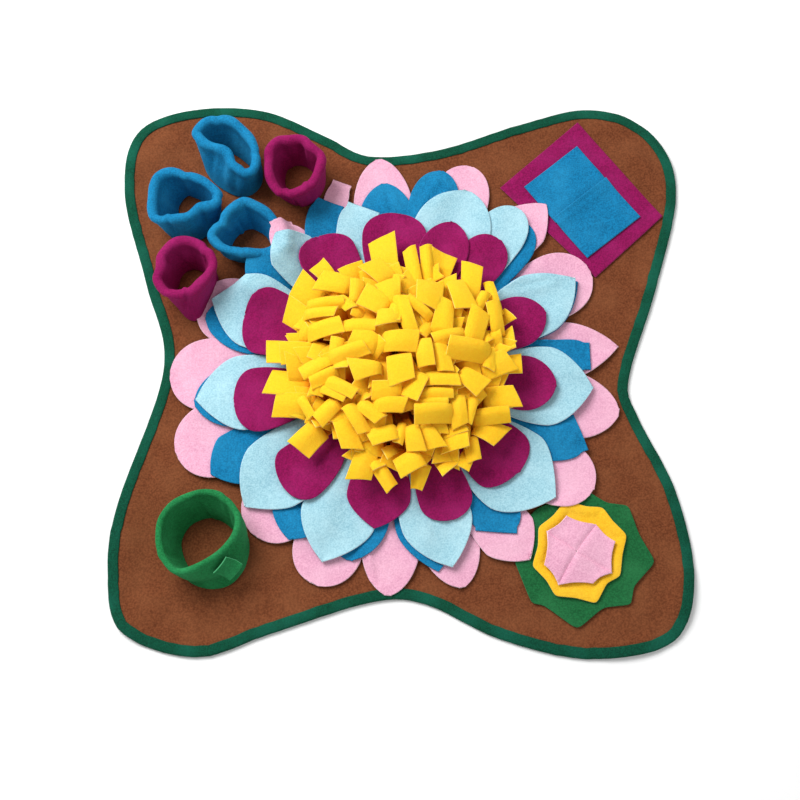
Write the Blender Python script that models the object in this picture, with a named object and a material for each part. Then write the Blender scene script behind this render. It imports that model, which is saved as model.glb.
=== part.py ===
"""Fleece snuffle mat.

A brown fleece ground with four rounded lobes and a bound edge carries a big flower of four rings
of fleece petals round a tuft of yellow strips, five open tubes, a wider open cup with a small tab,
a rectangular patch with two flaps, and a leaf patch with a small eight-sided flower on it.

All sizes and places are in millimetres, seen from above: X to the right, Y away from the viewer,
Z up. The ground's underside is at Z = 0 and the middle of its box is at X = Y = 0. The meshes are
made in metres.
"""

import math
import random

import bmesh
import bpy
import numpy as np
from mathutils import Vector
from mathutils.bvhtree import BVHTree

# ------------------------------------------------------------------ driving sizes, millimetres
METRES = 0.001
GAP = 0.4                   # air between pieces that lie on or beside each other
GROUND_THICK = 3.0
GROUND_EDGE_THICK = 2.4     # the ground where the binding presses it
FLEECE_THICK = 2.0          # petals, flaps and patches
WALL_THICK = 5.0            # the folded double wall of a tube
RIM_THICK = 7.2             # the soft roll at a tube's rim
BINDING_WIDTH = 10.5
BINDING_THICK = 1.0
BINDING_FOLD = 1.4          # tape and its thread at the outer fold

GROUND_FREE_INSET = 24.0    # from here inwards the ground lies free of the binding
GROUND_RING_SHARES = (0.3, 0.55, 0.75, 0.9, 1.0)

CURVE_STEPS = 24            # fine steps between two given points of a smooth curve
OUTLINE_STEPS = 76          # stations round the ground and its binding
TUBE_STEPS = 20             # stations round a tube

FLOWER_CENTRE = Vector((-6.2, -9.5, 0.0))
PETAL_ROOT_RADIUS = 88.0
PAD_RADIUS = 80.0
PAD_THICK = 3.0

# The ground's outline, along the outer edge of the binding, clockwise from the upper left lobe.
GROUND_OUTLINE = (
    (-240, 325), (-162, 323), (-89, 290), (-36, 264), (48, 273), (144, 306), (228, 325),
    (299, 294), (325, 219), (295, 96), (259, -13), (267, -58), (305, -144), (320, -240),
    (294, -310), (204, -329), (108, -308), (27, -270), (-32, -268), (-140, -302), (-220, -327),
    (-302, -299), (-319, -231), (-311, -153), (-269, -1), (-294, 102), (-325, 216), (-311, 297),
)

# Soft swells of the ground: x, y, turn in degrees, half length, half width, rise.
SWELLS = (
    (-303, -205, 88, 78, 26, 5.0),
    (-276, -276, 50, 60, 26, 3.5),
    (-291, 272, 40, 66, 28, 4.5),
    (-250, 306, 8, 50, 20, 3.0),
    (292, 258, -48, 40, 17, 3.5),
    (306, -258, 68, 56, 17, 3.5),
    (250, -317, 5, 50, 14, 2.5),
    (262, 308, 8, 46, 18, 2.5),
)

# Tubes. A row of a tube's table is one station of its wall, clockwise from the left:
# foot x, foot y, rim x, rim y, all along the middle of the wall.
TUBE_A = (
    (-228, 258, -237, 274), (-221, 271, -226, 287), (-208, 277, -209, 290),
    (-194, 276, -195, 287), (-180, 268, -180, 273), (-169, 255, -169, 255),
    (-165, 241, -166, 238), (-167, 227, -170, 224), (-176, 217, -184, 222),
    (-189, 215, -193, 233), (-203, 221, -203, 246), (-216, 231, -217, 253),
    (-226, 245, -230, 264),
)
TUBE_B = (
    (-268, 190, -285, 192), (-268, 203, -284, 207), (-262, 214, -279, 218),
    (-252, 220, -266, 223), (-241, 219, -250, 220), (-230, 214, -234, 216),
    (-220, 205, -221, 209), (-213, 193, -209, 196), (-214, 180, -214, 184),
    (-222, 168, -229, 179), (-233, 160, -242, 169), (-246, 157, -256, 166),
    (-257, 158, -270, 164), (-265, 165, -281, 166), (-268, 177, -285, 178),
)
TUBE_C = (
    (-203, 150, -214, 142), (-199, 161, -210, 153), (-191, 171, -201, 167),
    (-181, 177, -190, 180), (-170, 178, -179, 188), (-159, 173, -166, 184),
    (-149, 165, -152, 176), (-143, 153, -141, 163), (-143, 142, -136, 148),
    (-150, 134, -142, 134), (-161, 131, -155, 128), (-175, 131, -171, 127),
    (-188, 133, -188, 127), (-199, 140, -204, 131),
)
TUBE_D = (
    (-143, 238, -152, 238), (-140, 249, -151, 251), (-132, 257, -143, 262),
    (-121, 260, -128, 265), (-109, 258, -113, 263), (-99, 251, -100, 254),
    (-92, 241, -91, 243), (-91, 229, -92, 230), (-95, 217, -97, 216),
    (-103, 207, -104, 204), (-112, 203, -116, 198), (-122, 204, -130, 194),
    (-132, 209, -142, 200), (-139, 217, -149, 212), (-143, 227, -152, 225),
)
TUBE_E = (
    (-262, 104, -273, 98), (-258, 116, -272, 113), (-250, 124, -266, 126),
    (-240, 128, -255, 135), (-229, 126, -241, 138), (-219, 119, -227, 133),
    (-214, 109, -216, 123), (-218, 98, -212, 109), (-226, 87, -217, 96),
    (-232, 76, -226, 86), (-238, 66, -236, 77), (-247, 67, -248, 72),
    (-255, 76, -261, 71), (-261, 86, -270, 80), (-264, 95, -274, 90),
)
CUP_F = (
    (-247, -203, -259, -199), (-243, -188, -257, -184), (-234, -176, -247, -169),
    (-221, -169, -232, -160), (-206, -166, -215, -154), (-192, -170, -198, -156),
    (-181, -178, -185, -164), (-172, -190, -177, -175), (-168, -204, -174, -188),
    (-169, -219, -178, -202), (-174, -233, -190, -217), (-186, -243, -206, -229),
    (-203, -246, -223, -239), (-220, -244, -238, -241), (-234, -236, -249, -231),
    (-243, -221, -257, -215),
)
# Node, table, rim height over the ground, how far the rim tips up and towards which side.
TUBES = (
    ("blue_tube_a", TUBE_A, "blue", 50, 0, 0),
    ("blue_tube_b", TUBE_B, "blue", 48, 0, 0),
    ("blue_tube_c", TUBE_C, "blue", 42, 7, 150),
    ("magenta_tube_d", TUBE_D, "magenta", 50, 0, 0),
    ("magenta_tube_e", TUBE_E, "magenta", 50, 0, 0),
    ("green_cup", CUP_F, "cup_green", 46, 0, 0),
)
# Across the wall: share of the half thickness, height share, 1 for the wall and 0 for the rim.
TUBE_PROFILE = (
    (1.0, 0.0, 1), (1.1, 0.45, 1), (1.0, 0.87, 0), (0.5, 1.0, 0),
    (-0.5, 1.0, 0), (-1.0, 0.87, 0), (-1.1, 0.45, 1), (-1.0, 0.0, 1),
)

# The small tab on the cup: the stations of the cup's wall along which it lies, and its heights.
TAB_STATIONS = (12.4, 13.0, 13.8)
TAB_HEIGHTS = (20.0, 37.0)
TAB_THICK = 2.0

# Petals: the angle and radius of the tip and the way it points, about the flower's centre, the
# visible width, and how high the tip stands over the ground.
MAGENTA_PETALS = (
    (89, 192, 83, 78, 23), (71, 190, 79, 62, 25), (51, 200, 46, 66, 22), (24, 186, 24, 66, 24),
    (357, 182, 4, 77, 23), (316, 179, 309, 80, 22), (289, 179, 284, 62, 24), (263, 180, 267, 72, 22),
    (226, 185, 221, 74, 24), (190, 182, 182, 78, 22), (159, 182, 166, 74, 24), (117, 187, 110, 68, 25),
)
LIGHT_PETALS = (
    (104, 219, 106, 78, 16), (71, 241, 80, 78, 17), (54, 247, 48, 74, 15), (28, 236, 31, 84, 16),
    (357, 222, 1, 92, 17), (320, 230, 325, 96, 15), (286, 229, 292, 82, 16), (249, 230, 252, 82, 16),
    (222, 222, 229, 84, 15), (188, 225, 192, 94, 15), (157, 226, 165, 80, 16), (129, 200, 140, 62, 20),
)
BLUE_PETALS = (
    (111, 224, 112, 54, 10), (93, 236, 95, 68, 11), (77, 258, 79, 64, 9), (48, 247, 47, 68, 10),
    (27, 237, 26, 68, 9), (7, 228, 12, 66, 10), (340, 230, 345, 68, 9), (304, 224, 304, 66, 10),
    (282, 229, 278, 66, 9), (257, 218, 261, 64, 9), (236, 226, 238, 60, 10), (209, 233, 211, 66, 9),
    (189, 227, 194, 68, 10), (161, 224, 166, 60, 10), (143, 203, 135, 50, 38),
)
PINK_LOOSE_PETAL = (127, 232, 130, 52, 8)
# The lowest ring, joined at the petals' roots: angle and radius of each tip.
PINK_PETALS = (
    (106, 252), (94, 269), (70, 275), (51, 272), (32, 263), (8, 258), (350, 256), (328, 259),
    (305, 257), (287, 253), (268, 249), (250, 254), (231, 238), (201, 260), (180, 254), (160, 236),
)
# A petal of that ring: place across as a share of half its width, and the distance in from the
# tip's radius there.
LOBE = ((0.22, 4), (0.60, 19), (0.92, 46))
LOBE_HALF_WIDTH = 48.0
NOTCH_DEPTH = 78.0
WIDE_SPACING = 24.5         # degrees; where petals are further apart the root band shows between
RING_BAND_RADIUS = 118.0
RING_SHARES = (0.0, 0.38, 0.72, 1.0)

# A petal's outline: share of the length, and of the half width, from the root to the tip.
PETAL_PROFILE = ((0.0, 0.46), (0.33, 0.84), (0.64, 1.0), (0.85, 0.62), (1.0, 0.07))
PETAL_HIDDEN_WIDTH = 1.12     # a petal's full width over what its neighbours leave to be seen
PETAL_ACROSS = (-1.0, -0.5, 0.0, 0.5, 1.0)
PETAL_EDGE_RISE = 1.6       # the long edges stand a little over the middle
PETAL_ROOT_TURN = 0.15      # share of a petal's slant by which its root is turned the other way
PETAL_KNEE = 0.45           # share of a petal's length over which it points as its tip does

# Patches: corner points, clockwise from the left.
MAGENTA_PATCH = ((118, 223), (212, 308), (307, 186), (226, 110))
BLUE_FLAPS = (
    ("blue_flap_1", ((146, 223), (210, 276), (246, 228), (182, 177))),
    ("blue_flap_2", ((178, 182), (242, 234), (281, 185), (217, 133))),
)
LEAF_PATCH = (
    (124, -220), (142, -268), (156, -271), (191, -297), (220, -273), (250, -270), (254, -250),
    (279, -223), (262, -192), (252, -160), (228, -157), (206, -143), (150, -163), (128, -192),
)
YELLOW_OCTAGON = (
    (183, -155), (204, -162), (223, -163), (233, -178), (248, -194), (242, -216), (239, -239),
    (224, -247), (212, -269), (190, -263), (168, -261), (159, -244), (144, -228), (151, -206),
    (152, -185), (168, -173),
)
PINK_FLAP_CENTRE = (192, -213)
PINK_FLAP_CORNERS = (
    (160, -190), (182, -173), (215, -182), (235, -202), (230, -237), (209, -248), (171, -250),
    (156, -228),
)
PINK_FLAP_SEAM = 1.2        # a corner is drawn in by this, so that the four flaps lie apart
PINK_FLAP_CROWN = 5.0       # rise at the point where the flaps meet
PINK_FLAP_CROWN_RADIUS = 40.0

# Tuft strips.
STRIP_COUNT = 104
STRIP_LENGTH = 68.0
STRIP_OUTER_EXTRA = 30.0
STRIP_THICK = 2.2
STRIP_ROOT_WIDTH = 9.0
STRIP_END_WIDTH = 25.0
STRIP_MIDDLE_LEAN = 4.0     # degrees from upright at the root of the strip in the middle
STRIP_LEAN = 32.0           # degrees that an outermost strip leans more
STRIP_BEND = 52.0           # degrees that a strip curls outwards from root to end
STRIP_SCATTER = {"azimuth": 35.0, "lean": 7.0, "bend": 18.0, "roll": 40.0, "length": 5.0}
STRIP_ROOT_INSET = 6.0      # from the pad's edge to the outermost roots
STRIP_SEGMENTS = 3
STRIP_TRIES = 60            # each try is calmer and narrower than the one before
STRIP_NARROWING = 8.0       # width that a strip gives up by its last try
STRIP_CLEARANCE = 0.35
PAD_SIDES = 40

COLOURS = {
    "brown": (0.235, 0.072, 0.028),
    "binding_green": (0.010, 0.102, 0.058),
    "cup_green": (0.028, 0.250, 0.092),
    "leaf_green": (0.022, 0.200, 0.070),
    "blue": (0.020, 0.280, 0.560),
    "light_blue": (0.430, 0.750, 0.840),
    "magenta": (0.380, 0.012, 0.140),
    "pink": (0.900, 0.480, 0.620),
    "yellow": (1.000, 0.640, 0.030),
    "octagon_yellow": (0.900, 0.560, 0.060),
}


# ------------------------------------------------------------------ scene helpers
def clear_scene():
    for old in list(bpy.data.objects):
        bpy.data.objects.remove(old, do_unlink=True)


def new_collection(name):
    collection = bpy.data.collections.new(name)
    bpy.context.scene.collection.children.link(collection)
    return collection


def fleece_material(colour):
    """One dull, rough fleece of the given colour, made once."""
    name = "fleece_" + colour
    material = bpy.data.materials.get(name)
    if material is None:
        material = bpy.data.materials.new(name)
        material.use_nodes = True
        shader = material.node_tree.nodes["Principled BSDF"]
        shader.inputs["Base Color"].default_value = (*COLOURS[colour], 1.0)
        shader.inputs["Roughness"].default_value = 0.95
        shader.inputs["Metallic"].default_value = 0.0
        material.diffuse_color = (*COLOURS[colour], 1.0)
    return material


def add_object(name, bm, colour, collection):
    """Writes a bmesh in millimetres as an object in metres, its faces pointing out."""
    bmesh.ops.recalc_face_normals(bm, faces=bm.faces[:])
    bmesh.ops.scale(bm, vec=(METRES, METRES, METRES), verts=bm.verts[:])
    mesh = bpy.data.meshes.new(name)
    bm.to_mesh(mesh)
    bm.free()
    mesh.materials.append(fleece_material(colour))
    mesh.shade_smooth()
    mesh.set_sharp_from_angle(angle=math.radians(50))
    item = bpy.data.objects.new(name, mesh)
    collection.objects.link(item)
    return item


# ------------------------------------------------------------------ shapes
def closed_curve(points, count):
    """Points evenly spaced along a smooth closed curve through the given ones."""
    fine = []
    size = len(points)
    for i in range(size):
        p0, p1, p2, p3 = (Vector(points[(i + k) % size]) for k in (-1, 0, 1, 2))
        for step in range(CURVE_STEPS):
            t = step / CURVE_STEPS
            fine.append(0.5 * (2 * p1 + (p2 - p0) * t + (2 * p0 - 5 * p1 + 4 * p2 - p3) * t * t
                               + (3 * p1 - p0 - 3 * p2 + p3) * t ** 3))
    lengths = [0.0]
    for i, point in enumerate(fine):
        lengths.append(lengths[-1] + (fine[(i + 1) % len(fine)] - point).length)
    result = []
    segment = 0
    for k in range(count):
        target = lengths[-1] * k / count
        while lengths[segment + 1] < target:
            segment += 1
        share = (target - lengths[segment]) / (lengths[segment + 1] - lengths[segment])
        result.append(fine[segment].lerp(fine[(segment + 1) % len(fine)], share))
    return result


def outward(points, i):
    """The level direction that points out of a clockwise closed outline at station i."""
    run = points[(i + 1) % len(points)] - points[i - 1]
    return Vector((-run.y, run.x)).normalized()


def loft(sections, joined):
    """Skin over closed loops of equal length; not joined end to end, it is capped by strips."""
    bm = bmesh.new()
    rings = [[bm.verts.new(point) for point in section] for section in sections]
    around = len(rings[0])
    for i in range(len(rings) if joined else len(rings) - 1):
        here, there = rings[i], rings[(i + 1) % len(rings)]
        for k in range(around):
            after = (k + 1) % around
            bm.faces.new((here[k], here[after], there[after], there[k]))
    if not joined:
        for ring in (rings[0], rings[-1]):
            for k in range(around // 2 - 1):
                bm.faces.new((ring[k], ring[k + 1], ring[-k - 2], ring[-k - 1]))
    return bm


def thick_sheet(rows, thickness, joined=False):
    """A sheet whose underside runs through the rows of points."""
    rise = Vector((0.0, 0.0, thickness))
    sections = [row + [point + rise for point in reversed(row)] for row in rows]
    return loft(sections, joined)


def prism(outline, height, thickness):
    bm = bmesh.new()
    face = bm.faces.new([bm.verts.new((x, y, height)) for x, y in outline])
    top = bmesh.ops.extrude_face_region(bm, geom=[face])
    lifted = [item for item in top["geom"] if isinstance(item, bmesh.types.BMVert)]
    bmesh.ops.translate(bm, vec=(0, 0, thickness), verts=lifted)
    return bm


def bump(t):
    """A smooth hump, 1 at 0 and 0 from 1 on."""
    return (1.0 - t * t) ** 2 if abs(t) < 1.0 else 0.0


class Pile:
    """The height of all that lies on the floor so far, on a square grid seen from above."""

    REACH = 345.0
    STEP = 2.5
    PROBE = 4.0             # how far apart the places under a patch are looked at
    CEILING = 500.0

    def __init__(self):
        self.count = int(2 * self.REACH / self.STEP) + 1
        self.top = np.zeros((self.count, self.count))

    def index(self, value):
        return int(round((value + self.REACH) / self.STEP))

    def add(self, bm):
        """Lays a piece on the pile."""
        tree = BVHTree.FromBMesh(bm)
        xs = [vert.co.x for vert in bm.verts]
        ys = [vert.co.y for vert in bm.verts]
        down = Vector((0.0, 0.0, -1.0))
        for i in range(self.index(min(xs)), self.index(max(xs)) + 1):
            for j in range(self.index(min(ys)), self.index(max(ys)) + 1):
                place = (i * self.STEP - self.REACH, j * self.STEP - self.REACH, self.CEILING)
                hit = tree.ray_cast(Vector(place), down)[0]
                if hit is not None:
                    self.top[i, j] = max(self.top[i, j], hit.z)

    def highest(self, x, y):
        """The greatest height within a grid step or so of a place."""
        i = self.index(x)
        j = self.index(y)
        return float(self.top[i - 1:i + 2, j - 1:j + 2].max())

    def under(self, a, b, c, d):
        """The greatest height under a four-cornered patch."""
        longest = max((a - b).length, (b - c).length, (c - d).length, (d - a).length)
        count = max(2, int(longest / self.PROBE) + 1)
        worst = 0.0
        for i in range(count + 1):
            left = a.lerp(b, i / count)
            right = d.lerp(c, i / count)
            for j in range(count + 1):
                place = left.lerp(right, j / count)
                worst = max(worst, self.highest(place.x, place.y))
        return worst


def settle(rows, pile, gap=GAP, joined=False):
    """Raises the points of a sheet until each of its cells clears the pile, then eases it."""
    steps = len(rows) if joined else len(rows) - 1
    for i in range(steps):
        here, there = rows[i], rows[(i + 1) % len(rows)]
        for j in range(len(here) - 1):
            cell = (here[j], here[j + 1], there[j + 1], there[j])
            need = pile.under(*cell) + gap
            for point in cell:
                point.z = max(point.z, need)
    for _ in range(2):
        for i, row in enumerate(rows):
            for j in range(1, len(row) - 1):
                row[j].z = max(row[j].z, 0.5 * (row[j - 1].z + row[j + 1].z))
    return rows


# ------------------------------------------------------------------ ground and binding
def swell(x, y):
    """How far the ground's underside stands off the floor at a place."""
    rise = 0.0
    for cx, cy, turn, half_length, half_width, height in SWELLS:
        angle = math.radians(turn)
        along = (x - cx) * math.cos(angle) + (y - cy) * math.sin(angle)
        across = (y - cy) * math.cos(angle) - (x - cx) * math.sin(angle)
        rise = max(rise, height * bump(along / half_length) * bump(across / half_width))
    return rise


def ground_outline():
    """The outline's stations, moved so that its box has its middle at the origin."""
    points = closed_curve(GROUND_OUTLINE, OUTLINE_STEPS)
    middle = Vector((
        0.5 * (min(p.x for p in points) + max(p.x for p in points)),
        0.5 * (min(p.y for p in points) + max(p.y for p in points)),
    ))
    return [point - middle for point in points]


def inset(points, distance):
    return [point - outward(points, i) * distance for i, point in enumerate(points)]


def edge_rises(outline):
    """How far each station of the bound edge stands off the floor."""
    return [swell(point.x, point.y) for point in inset(outline, BINDING_WIDTH)]


def make_ground(outline):
    """The fleece ground: flat in the middle, in soft swells, pressed thinner in the binding."""
    pressed = BINDING_THICK + GAP
    under = []
    over = []
    for share in GROUND_RING_SHARES:
        ring = [point * share for point in inset(outline, GROUND_FREE_INSET)]
        under.append([Vector((p.x, p.y, swell(p.x, p.y))) for p in ring])
        over.append([point + Vector((0, 0, GROUND_THICK)) for point in under[-1]])
    for distance in (BINDING_WIDTH + 1.2, BINDING_FOLD + 0.5):
        ring = zip(inset(outline, distance), edge_rises(outline))
        under.append([Vector((p.x, p.y, pressed + rise)) for p, rise in ring])
        over.append([point + Vector((0, 0, GROUND_EDGE_THICK)) for point in under[-1]])
    return loft(under + over[::-1], joined=False)


def make_binding(outline):
    """The tape folded over the ground's edge: a U laid on its side, run round the outline."""
    height = 2 * (BINDING_THICK + GAP) + GROUND_EDGE_THICK
    profile = (
        (BINDING_WIDTH, 0.0), (2.0, 0.0), (0.0, height / 2), (2.0, height), (BINDING_WIDTH, height),
        (BINDING_WIDTH, height - BINDING_THICK), (BINDING_FOLD, height - BINDING_THICK),
        (BINDING_FOLD, BINDING_THICK), (BINDING_WIDTH, BINDING_THICK),
    )
    rises = edge_rises(outline)
    sections = []
    for i, point in enumerate(outline):
        direction = outward(outline, i)
        section = []
        for distance, level in profile:
            place = point - direction * distance
            section.append(Vector((place.x, place.y, level + rises[i])))
        sections.append(section)
    return loft(sections, joined=True)


# ------------------------------------------------------------------ tubes, cup and tab
class TubeWall:
    """The wall of an open fleece tube, from its foot on the ground to its rolled rim."""

    def __init__(self, table, height, tip_up, tip_towards, floor):
        self.feet = closed_curve([row[:2] for row in table], TUBE_STEPS)
        self.rims = closed_curve([row[2:] for row in table], TUBE_STEPS)
        self.centre = sum(self.rims, Vector((0.0, 0.0))) / TUBE_STEPS
        self.height = height
        self.tip_up = tip_up
        self.tip_towards = math.radians(tip_towards)
        self.floor = floor

    def point(self, station, share, offset):
        """A place at a station of the wall, at a share of its height, offset outwards."""
        first = int(station) % TUBE_STEPS
        second = (first + 1) % TUBE_STEPS
        part = station - int(station)
        foot = self.feet[first].lerp(self.feet[second], part)
        rim = self.rims[first].lerp(self.rims[second], part)
        out_foot = outward(self.feet, first).lerp(outward(self.feet, second), part)
        out_rim = outward(self.rims, first).lerp(outward(self.rims, second), part)
        place = foot.lerp(rim, share) + out_foot.lerp(out_rim, share).normalized() * offset
        from_centre = rim - self.centre
        side = math.cos(math.atan2(from_centre.y, from_centre.x) - self.tip_towards)
        top = self.height + self.tip_up * side
        return Vector((place.x, place.y, self.floor + top * share))

    def mesh(self):
        sections = []
        for station in range(TUBE_STEPS):
            section = []
            for across, share, is_wall in TUBE_PROFILE:
                half = 0.5 * (WALL_THICK if is_wall else RIM_THICK)
                section.append(self.point(station, share, across * half))
            sections.append(section)
        return loft(sections, joined=True)


def tube_floor(table, pile):
    """The height on which a tube's foot stands."""
    feet = closed_curve([row[:2] for row in table], TUBE_STEPS)
    return max(pile.highest(foot.x, foot.y) for foot in feet) + GAP


def make_tab(wall):
    """The small square of fleece that lies against the cup's outer side."""
    clear = 0.5 * RIM_THICK + GAP
    sections = []
    for level in (0.0, 0.5, 1.0):
        height = TAB_HEIGHTS[0] + level * (TAB_HEIGHTS[1] - TAB_HEIGHTS[0])
        share = height / wall.height
        inner = []
        outer = []
        for station in TAB_STATIONS:
            inner.append(wall.point(station, share, clear))
            outer.append(wall.point(station, share, clear + TAB_THICK))
        sections.append(inner + outer[::-1])
    return loft(sections, joined=False)


# ------------------------------------------------------------------ patches
def quad_rows(corners, count, height):
    """Rows of points over a four-cornered piece."""
    a, b, c, d = (Vector((x, y, height)) for x, y in corners)
    rows = []
    for i in range(count + 1):
        left = a.lerp(b, i / count)
        right = d.lerp(c, i / count)
        rows.append([left.lerp(right, j / count) for j in range(count + 1)])
    return rows


def flat_piece(outline, pile):
    """A flat piece that lies on the highest of what is under it."""
    corners = [Vector((x, y, 0.0)) for x, y in outline]
    middle = sum(corners, Vector()) / len(corners)
    level = GAP + max(pile.under(middle, a, b, b) for a, b in zip(corners, corners[1:] + corners[:1]))
    return prism(outline, level, FLEECE_THICK)


def make_pink_flap(index, pile):
    """One of the four flaps of the small flower, rising to the point where they meet."""
    size = len(PINK_FLAP_CORNERS)
    corners = [PINK_FLAP_CENTRE] + [PINK_FLAP_CORNERS[(2 * index + k) % size] for k in range(3)]
    middle = Vector((sum(x for x, _ in corners) / 4, sum(y for _, y in corners) / 4))
    drawn_in = []
    for corner in corners:
        away = Vector(corner) - middle
        drawn_in.append(middle + away * (1.0 - PINK_FLAP_SEAM / away.length))
    rows = quad_rows(drawn_in, 2, 0.0)
    settle(rows, pile)
    for row in rows:
        for point in row:
            distance = (Vector((point.x, point.y)) - Vector(PINK_FLAP_CENTRE)).length
            point.z += PINK_FLAP_CROWN * bump(distance / PINK_FLAP_CROWN_RADIUS)
    return thick_sheet(rows, FLEECE_THICK)


# ------------------------------------------------------------------ petals
def polar(angle, radius):
    """A place about the flower's centre."""
    turn = math.radians(angle)
    return FLOWER_CENTRE + Vector((radius * math.cos(turn), radius * math.sin(turn), 0.0))


def petal_rows(angle, radius, points_at, width, tip_height):
    """Rows of points across a petal, from its root at the tuft to its tip."""
    tip = polar(angle, radius)
    root_angle = angle + PETAL_ROOT_TURN * math.remainder(angle - points_at, 360.0)
    root = polar(root_angle, PETAL_ROOT_RADIUS)
    length = (tip - root).length
    turn = math.radians(points_at)
    knee = tip - Vector((math.cos(turn), math.sin(turn), 0.0)) * PETAL_KNEE * length
    rows = []
    for share, spread in PETAL_PROFILE:
        half = 0.5 * spread * width * PETAL_HIDDEN_WIDTH
        place = root.lerp(knee, share).lerp(knee.lerp(tip, share), share)
        run = root.lerp(knee, share) - knee.lerp(tip, share)
        side = Vector((-run.y, run.x, 0.0)).normalized()
        rise = (tip_height - FLEECE_THICK) * bump(1.0 - share) * min(1.0, share * 1.6)
        row = []
        for across in PETAL_ACROSS:
            point = place + side * half * across
            point.z = rise + PETAL_EDGE_RISE * abs(across) * bump(2.0 * share - 1.2)
            row.append(point)
        rows.append(row)
    return rows


def ring_rows():
    """Radial rows of points of the lowest ring, from its root band out to the petals' edges."""
    petals = sorted(PINK_PETALS)
    edge = []
    for k, (angle, radius) in enumerate(petals):
        after, after_radius = petals[(k + 1) % len(petals)]
        spacing = (after - angle) % 360
        edge.append((angle, radius))
        for across, inward in LOBE:
            half = min(0.5 * spacing, math.degrees(LOBE_HALF_WIDTH / radius))
            edge.append((angle + across * half, radius - inward))
            half = min(0.5 * spacing, math.degrees(LOBE_HALF_WIDTH / after_radius))
            edge.append((angle + spacing - across * half, after_radius - inward))
        wide = spacing > WIDE_SPACING
        notch = RING_BAND_RADIUS if wide else min(radius, after_radius) - NOTCH_DEPTH
        edge.append((angle + 0.5 * spacing, notch))
    edge.sort()
    rows = []
    for angle, radius in edge:
        span = radius - PETAL_ROOT_RADIUS
        rows.append([polar(angle, PETAL_ROOT_RADIUS + span * share) for share in RING_SHARES])
    return rows


# ------------------------------------------------------------------ tuft
def strip_sections(root, azimuth, lean, bend, roll, length, width, spare=0.0):
    """The cross-sections of one curling strip; spare fattens it for a clearance test."""
    level = math.radians(azimuth)
    forward = Vector((math.cos(level), math.sin(level), 0.0))
    up = Vector((0.0, 0.0, 1.0))
    place = root.copy()
    sections = []
    for k in range(STRIP_SEGMENTS + 1):
        share = k / STRIP_SEGMENTS
        angle = math.radians(lean + bend * share)
        run = forward * math.sin(angle) + up * math.cos(angle)
        face = forward * math.cos(angle) - up * math.sin(angle)
        side = run.cross(face)
        turn = math.radians(roll) * share
        across = side * math.cos(turn) + face * math.sin(turn)
        through = face * math.cos(turn) - side * math.sin(turn)
        spread = STRIP_ROOT_WIDTH + (width - STRIP_ROOT_WIDTH) * min(1.0, 1.5 * share)
        a = across * (0.5 * spread + spare)
        b = through * (0.5 * STRIP_THICK + spare)
        sections.append([place - a - b, place + a - b, place + a + b, place - a + b])
        place = place + run * (length / STRIP_SEGMENTS)
    return sections


def strip_roots(floor):
    """Evenly spread places on the pad, from its middle outwards."""
    golden = math.degrees(math.pi * (3.0 - math.sqrt(5.0)))
    reach = PAD_RADIUS - STRIP_ROOT_INSET
    roots = []
    for k in range(STRIP_COUNT):
        radius = reach * math.sqrt((k + 0.5) / STRIP_COUNT)
        angle = (k * golden) % 360.0
        root = polar(angle, radius)
        root.z = floor + 0.5 * PAD_THICK
        roots.append((root, angle, radius / reach))
    return roots


def make_strips(floor, petals):
    """All strips of the tuft, none touching another or a petal."""
    rng = random.Random(5)
    placed = [BVHTree.FromBMesh(petal) for petal in petals]
    strips = bmesh.new()
    for root, angle, share in reversed(strip_roots(floor)):
        for attempt in range(STRIP_TRIES):
            calm = attempt / STRIP_TRIES
            azimuth, lean, bend, roll, length = (
                STRIP_SCATTER[name] * rng.uniform(-1.0, 1.0) * (1.0 - calm)
                for name in ("azimuth", "lean", "bend", "roll", "length")
            )
            azimuth += angle
            lean += STRIP_MIDDLE_LEAN + STRIP_LEAN * share
            bend += STRIP_BEND
            length += STRIP_LENGTH + STRIP_OUTER_EXTRA * share
            width = STRIP_END_WIDTH - STRIP_NARROWING * calm
            trial = strip_sections(root, azimuth, lean, bend, roll, length, width, STRIP_CLEARANCE)
            tree = BVHTree.FromBMesh(loft(trial, joined=False))
            if not any(tree.overlap(other) for other in placed):
                break
        else:
            continue
        placed.append(tree)
        body = loft(strip_sections(root, azimuth, lean, bend, roll, length, width), joined=False)
        mesh = bpy.data.meshes.new("strip")
        body.to_mesh(mesh)
        strips.from_mesh(mesh)
        bpy.data.meshes.remove(mesh)
        body.free()
    return strips


def make_tuft(floor, petals, parts, cutters):
    """The pad and its strips, joined by a union so that the strips' roots grow from the pad."""
    strips = add_object("tuft_strips", make_strips(floor, petals), "yellow", cutters)
    strips.hide_render = True
    strips.display_type = "WIRE"
    pad = bmesh.new()
    bmesh.ops.create_cone(pad, cap_ends=True, segments=PAD_SIDES, radius1=PAD_RADIUS,
                          radius2=PAD_RADIUS, depth=PAD_THICK)
    lift = FLOWER_CENTRE + Vector((0, 0, floor + 0.5 * PAD_THICK))
    bmesh.ops.translate(pad, vec=lift, verts=pad.verts[:])
    tuft = add_object("yellow_tuft", pad, "yellow", parts)
    union = tuft.modifiers.new("strips", "BOOLEAN")
    union.operation = "UNION"
    union.solver = "EXACT"
    union.object = strips
    return tuft


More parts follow.
